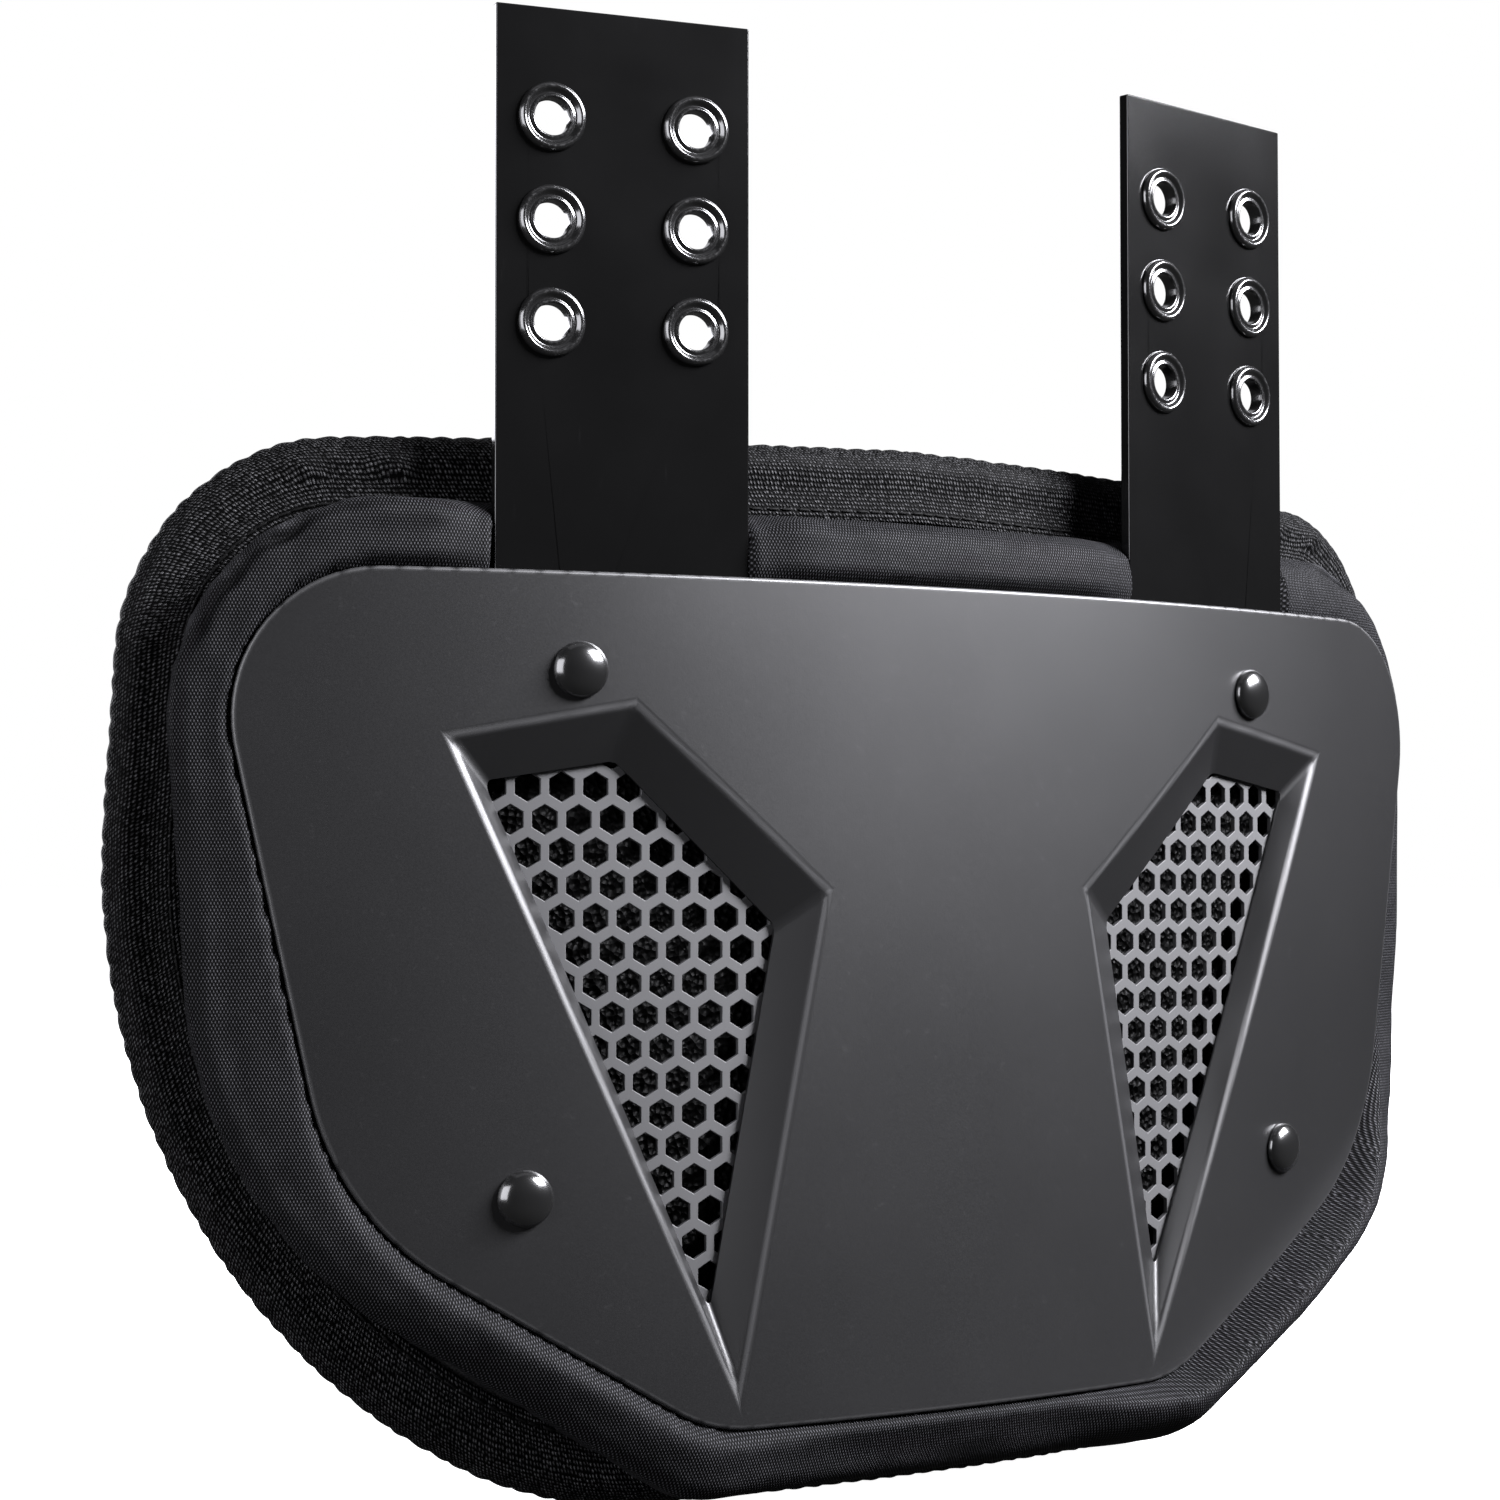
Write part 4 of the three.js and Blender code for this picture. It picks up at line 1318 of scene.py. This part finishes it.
def buildStitches():
    # one row of stitches near the webbing's inner edge, front and back
    edge = drawEdge(rear["corners"], stitch["points"], rear["arch"])
    pitch = (stitch["length"] + stitch["gap"]) * mm
    count = int(edge["length"] / pitch)
    bpy.ops.object.select_all(action="DESELECT")
    bpy.ops.mesh.primitive_cylinder_add(
        vertices=6, radius=stitch["radius"] * mm, depth=stitch["length"] * mm * stitch["core"],
        rotation=(0, math.pi / 2, 0),
    )
    first = bpy.context.object
    editPiece(first)
    bpy.ops.mesh.select_mode(type="FACE")
    for sense in (-1, 1):
        bpy.ops.mesh.select_all(action="DESELECT")
        mesh = bmesh.from_edit_mesh(first.data)
        for face in mesh.faces:
            face.select_set(face.normal.z * sense > 0.9)
        bmesh.update_edit_mesh(first.data)
        bpy.ops.mesh.extrude_region_move(
            TRANSFORM_OT_translate={"value": (sense * stitch["length"] * mm * stitch["tip"], 0, 0)},
        )
        bpy.ops.transform.resize(value=(stitch["taper"],) * 3)
    bpy.ops.object.mode_set(mode="OBJECT")
    first.data.transform(first.matrix_world)
    first.matrix_world = Matrix.Identity(4)
    bpy.ops.object.shade_smooth()
    pieces = []
    front, rearward = rear["front"], rear["front"] + rear["thickness"]
    levels = {"Front": front - stitch["proudFront"], "Back": rearward + stitch["proudBack"]}
    for face, depth in levels.items():
        for index in range(count):
            low = int(index / count * stitch["points"])
            out = edge["out"][low]
            spot = edge["points"][low] - out * stitch["inset"] * mm
            twin = copyPiece(first, f"stitch{face}{index}")
            twin.data.transform(Matrix.Rotation(math.atan2(out.x, out.y), 4, "Y"))
            standPiece(twin, spot.x, depth * mm, spot.y)
            pieces.append(twin)
    bpy.data.objects.remove(first)
    pickPieces(pieces)
    bpy.ops.object.join()
    joined = bpy.context.object
    joined.name = "bindingStitches"
    joined.data.name = "bindingStitches"
    return settle(joined, None, "binding_webbing", threadPaint)


buildStitches()
print("stitches sewn")


# floor and light

studio = {
    "floor": 12, "floorShade": grey(0.86), "floorGlow": 1.0,
    "sky": 1.0, "ambient": 0.015, "bounce": 0.07,  # the room above and the pale table below
    "horizon": (-0.5, 0.15),  # the table's light fades into the room's between these heights
    "tint": (1, 1, 1.06), "target": (0, 0, 0.14),
    "lamps": {  # degrees to the right of the front, degrees up, distance, width, height, watts
        "key": (44, 35, 1.5, 0.9, 0.55, 148),
        "leftFill": (-80, 12, 1.4, 1.2, 0.9, 25),
        "overhead": (0, 84, 1.3, 1.2, 0.7, 0.8),
        "rim": (160, 40, 1.5, 0.8, 0.8, 1.5),
        "rear": (182, 10, 1.6, 1.2, 0.8, 18),
    },
}


def addFloor():
    bpy.ops.object.select_all(action="DESELECT")
    bpy.ops.mesh.primitive_circle_add(vertices=96, radius=studio["floor"], fill_type="NGON")
    floor = bpy.context.object
    floor.name = "studioFloor"
    paint = Paint("studioFloor")
    paint.feed(paint.shader.inputs["Emission Color"], (1, 1, 1, 1))
    paint.feed(paint.shader.inputs["Emission Strength"], studio["floorGlow"])
    floor.data.materials.append(paint.finish(colour=studio["floorShade"], roughness=0.9, specular=0.1))
    floor.visible_diffuse = False  # the white floor doesn't glow on the object
    floor.visible_glossy = False


def addLamps():
    target = Vector(studio["target"])
    for name, (heading, climb, distance, width, height, power) in studio["lamps"].items():
        away = aim(180 - heading, climb)
        bpy.ops.object.light_add(type="AREA", location=target + away * distance)
        lamp = bpy.context.object
        lamp.name = name
        lamp.rotation_euler = (-away).to_track_quat("-Z", "Y").to_euler()
        lamp.data.shape = "RECTANGLE"
        lamp.data.size, lamp.data.size_y = width, height
        lamp.data.energy = power
        lamp.data.color = studio["tint"]


def addSky():
    # the lens sees plain white, the object a dim room over a pale table
    world = bpy.context.scene.world or bpy.data.worlds.new("studio")
    bpy.context.scene.world = world
    world.use_nodes = True
    nodes, links = world.node_tree.nodes, world.node_tree.links
    nodes.clear()
    lens = nodes.new("ShaderNodeLightPath")
    white, room = nodes.new("ShaderNodeBackground"), nodes.new("ShaderNodeBackground")
    white.inputs["Color"].default_value = (1, 1, 1, 1)
    white.inputs["Strength"].default_value = studio["sky"]
    room.inputs["Color"].default_value = (1, 1, 1, 1)
    place, apart = nodes.new("ShaderNodeTexCoord"), nodes.new("ShaderNodeSeparateXYZ")
    level = nodes.new("ShaderNodeMapRange")
    level.interpolation_type = "SMOOTHSTEP"
    values = studio["horizon"] + (studio["bounce"], studio["ambient"])
    for name, value in zip(("From Min", "From Max", "To Min", "To Max"), values):
        level.inputs[name].default_value = value
    links.new(place.outputs["Generated"], apart.inputs[0])
    links.new(apart.outputs["Z"], level.inputs["Value"])
    links.new(level.outputs[0], room.inputs["Strength"])
    blend, output = nodes.new("ShaderNodeMixShader"), nodes.new("ShaderNodeOutputWorld")
    links.new(lens.outputs["Is Camera Ray"], blend.inputs[0])
    links.new(room.outputs[0], blend.inputs[1])
    links.new(white.outputs[0], blend.inputs[2])
    links.new(blend.outputs[0], output.inputs[0])


addFloor()
addLamps()
addSky()
bpy.context.scene.view_settings.view_transform = "Standard"
print("studio lit")
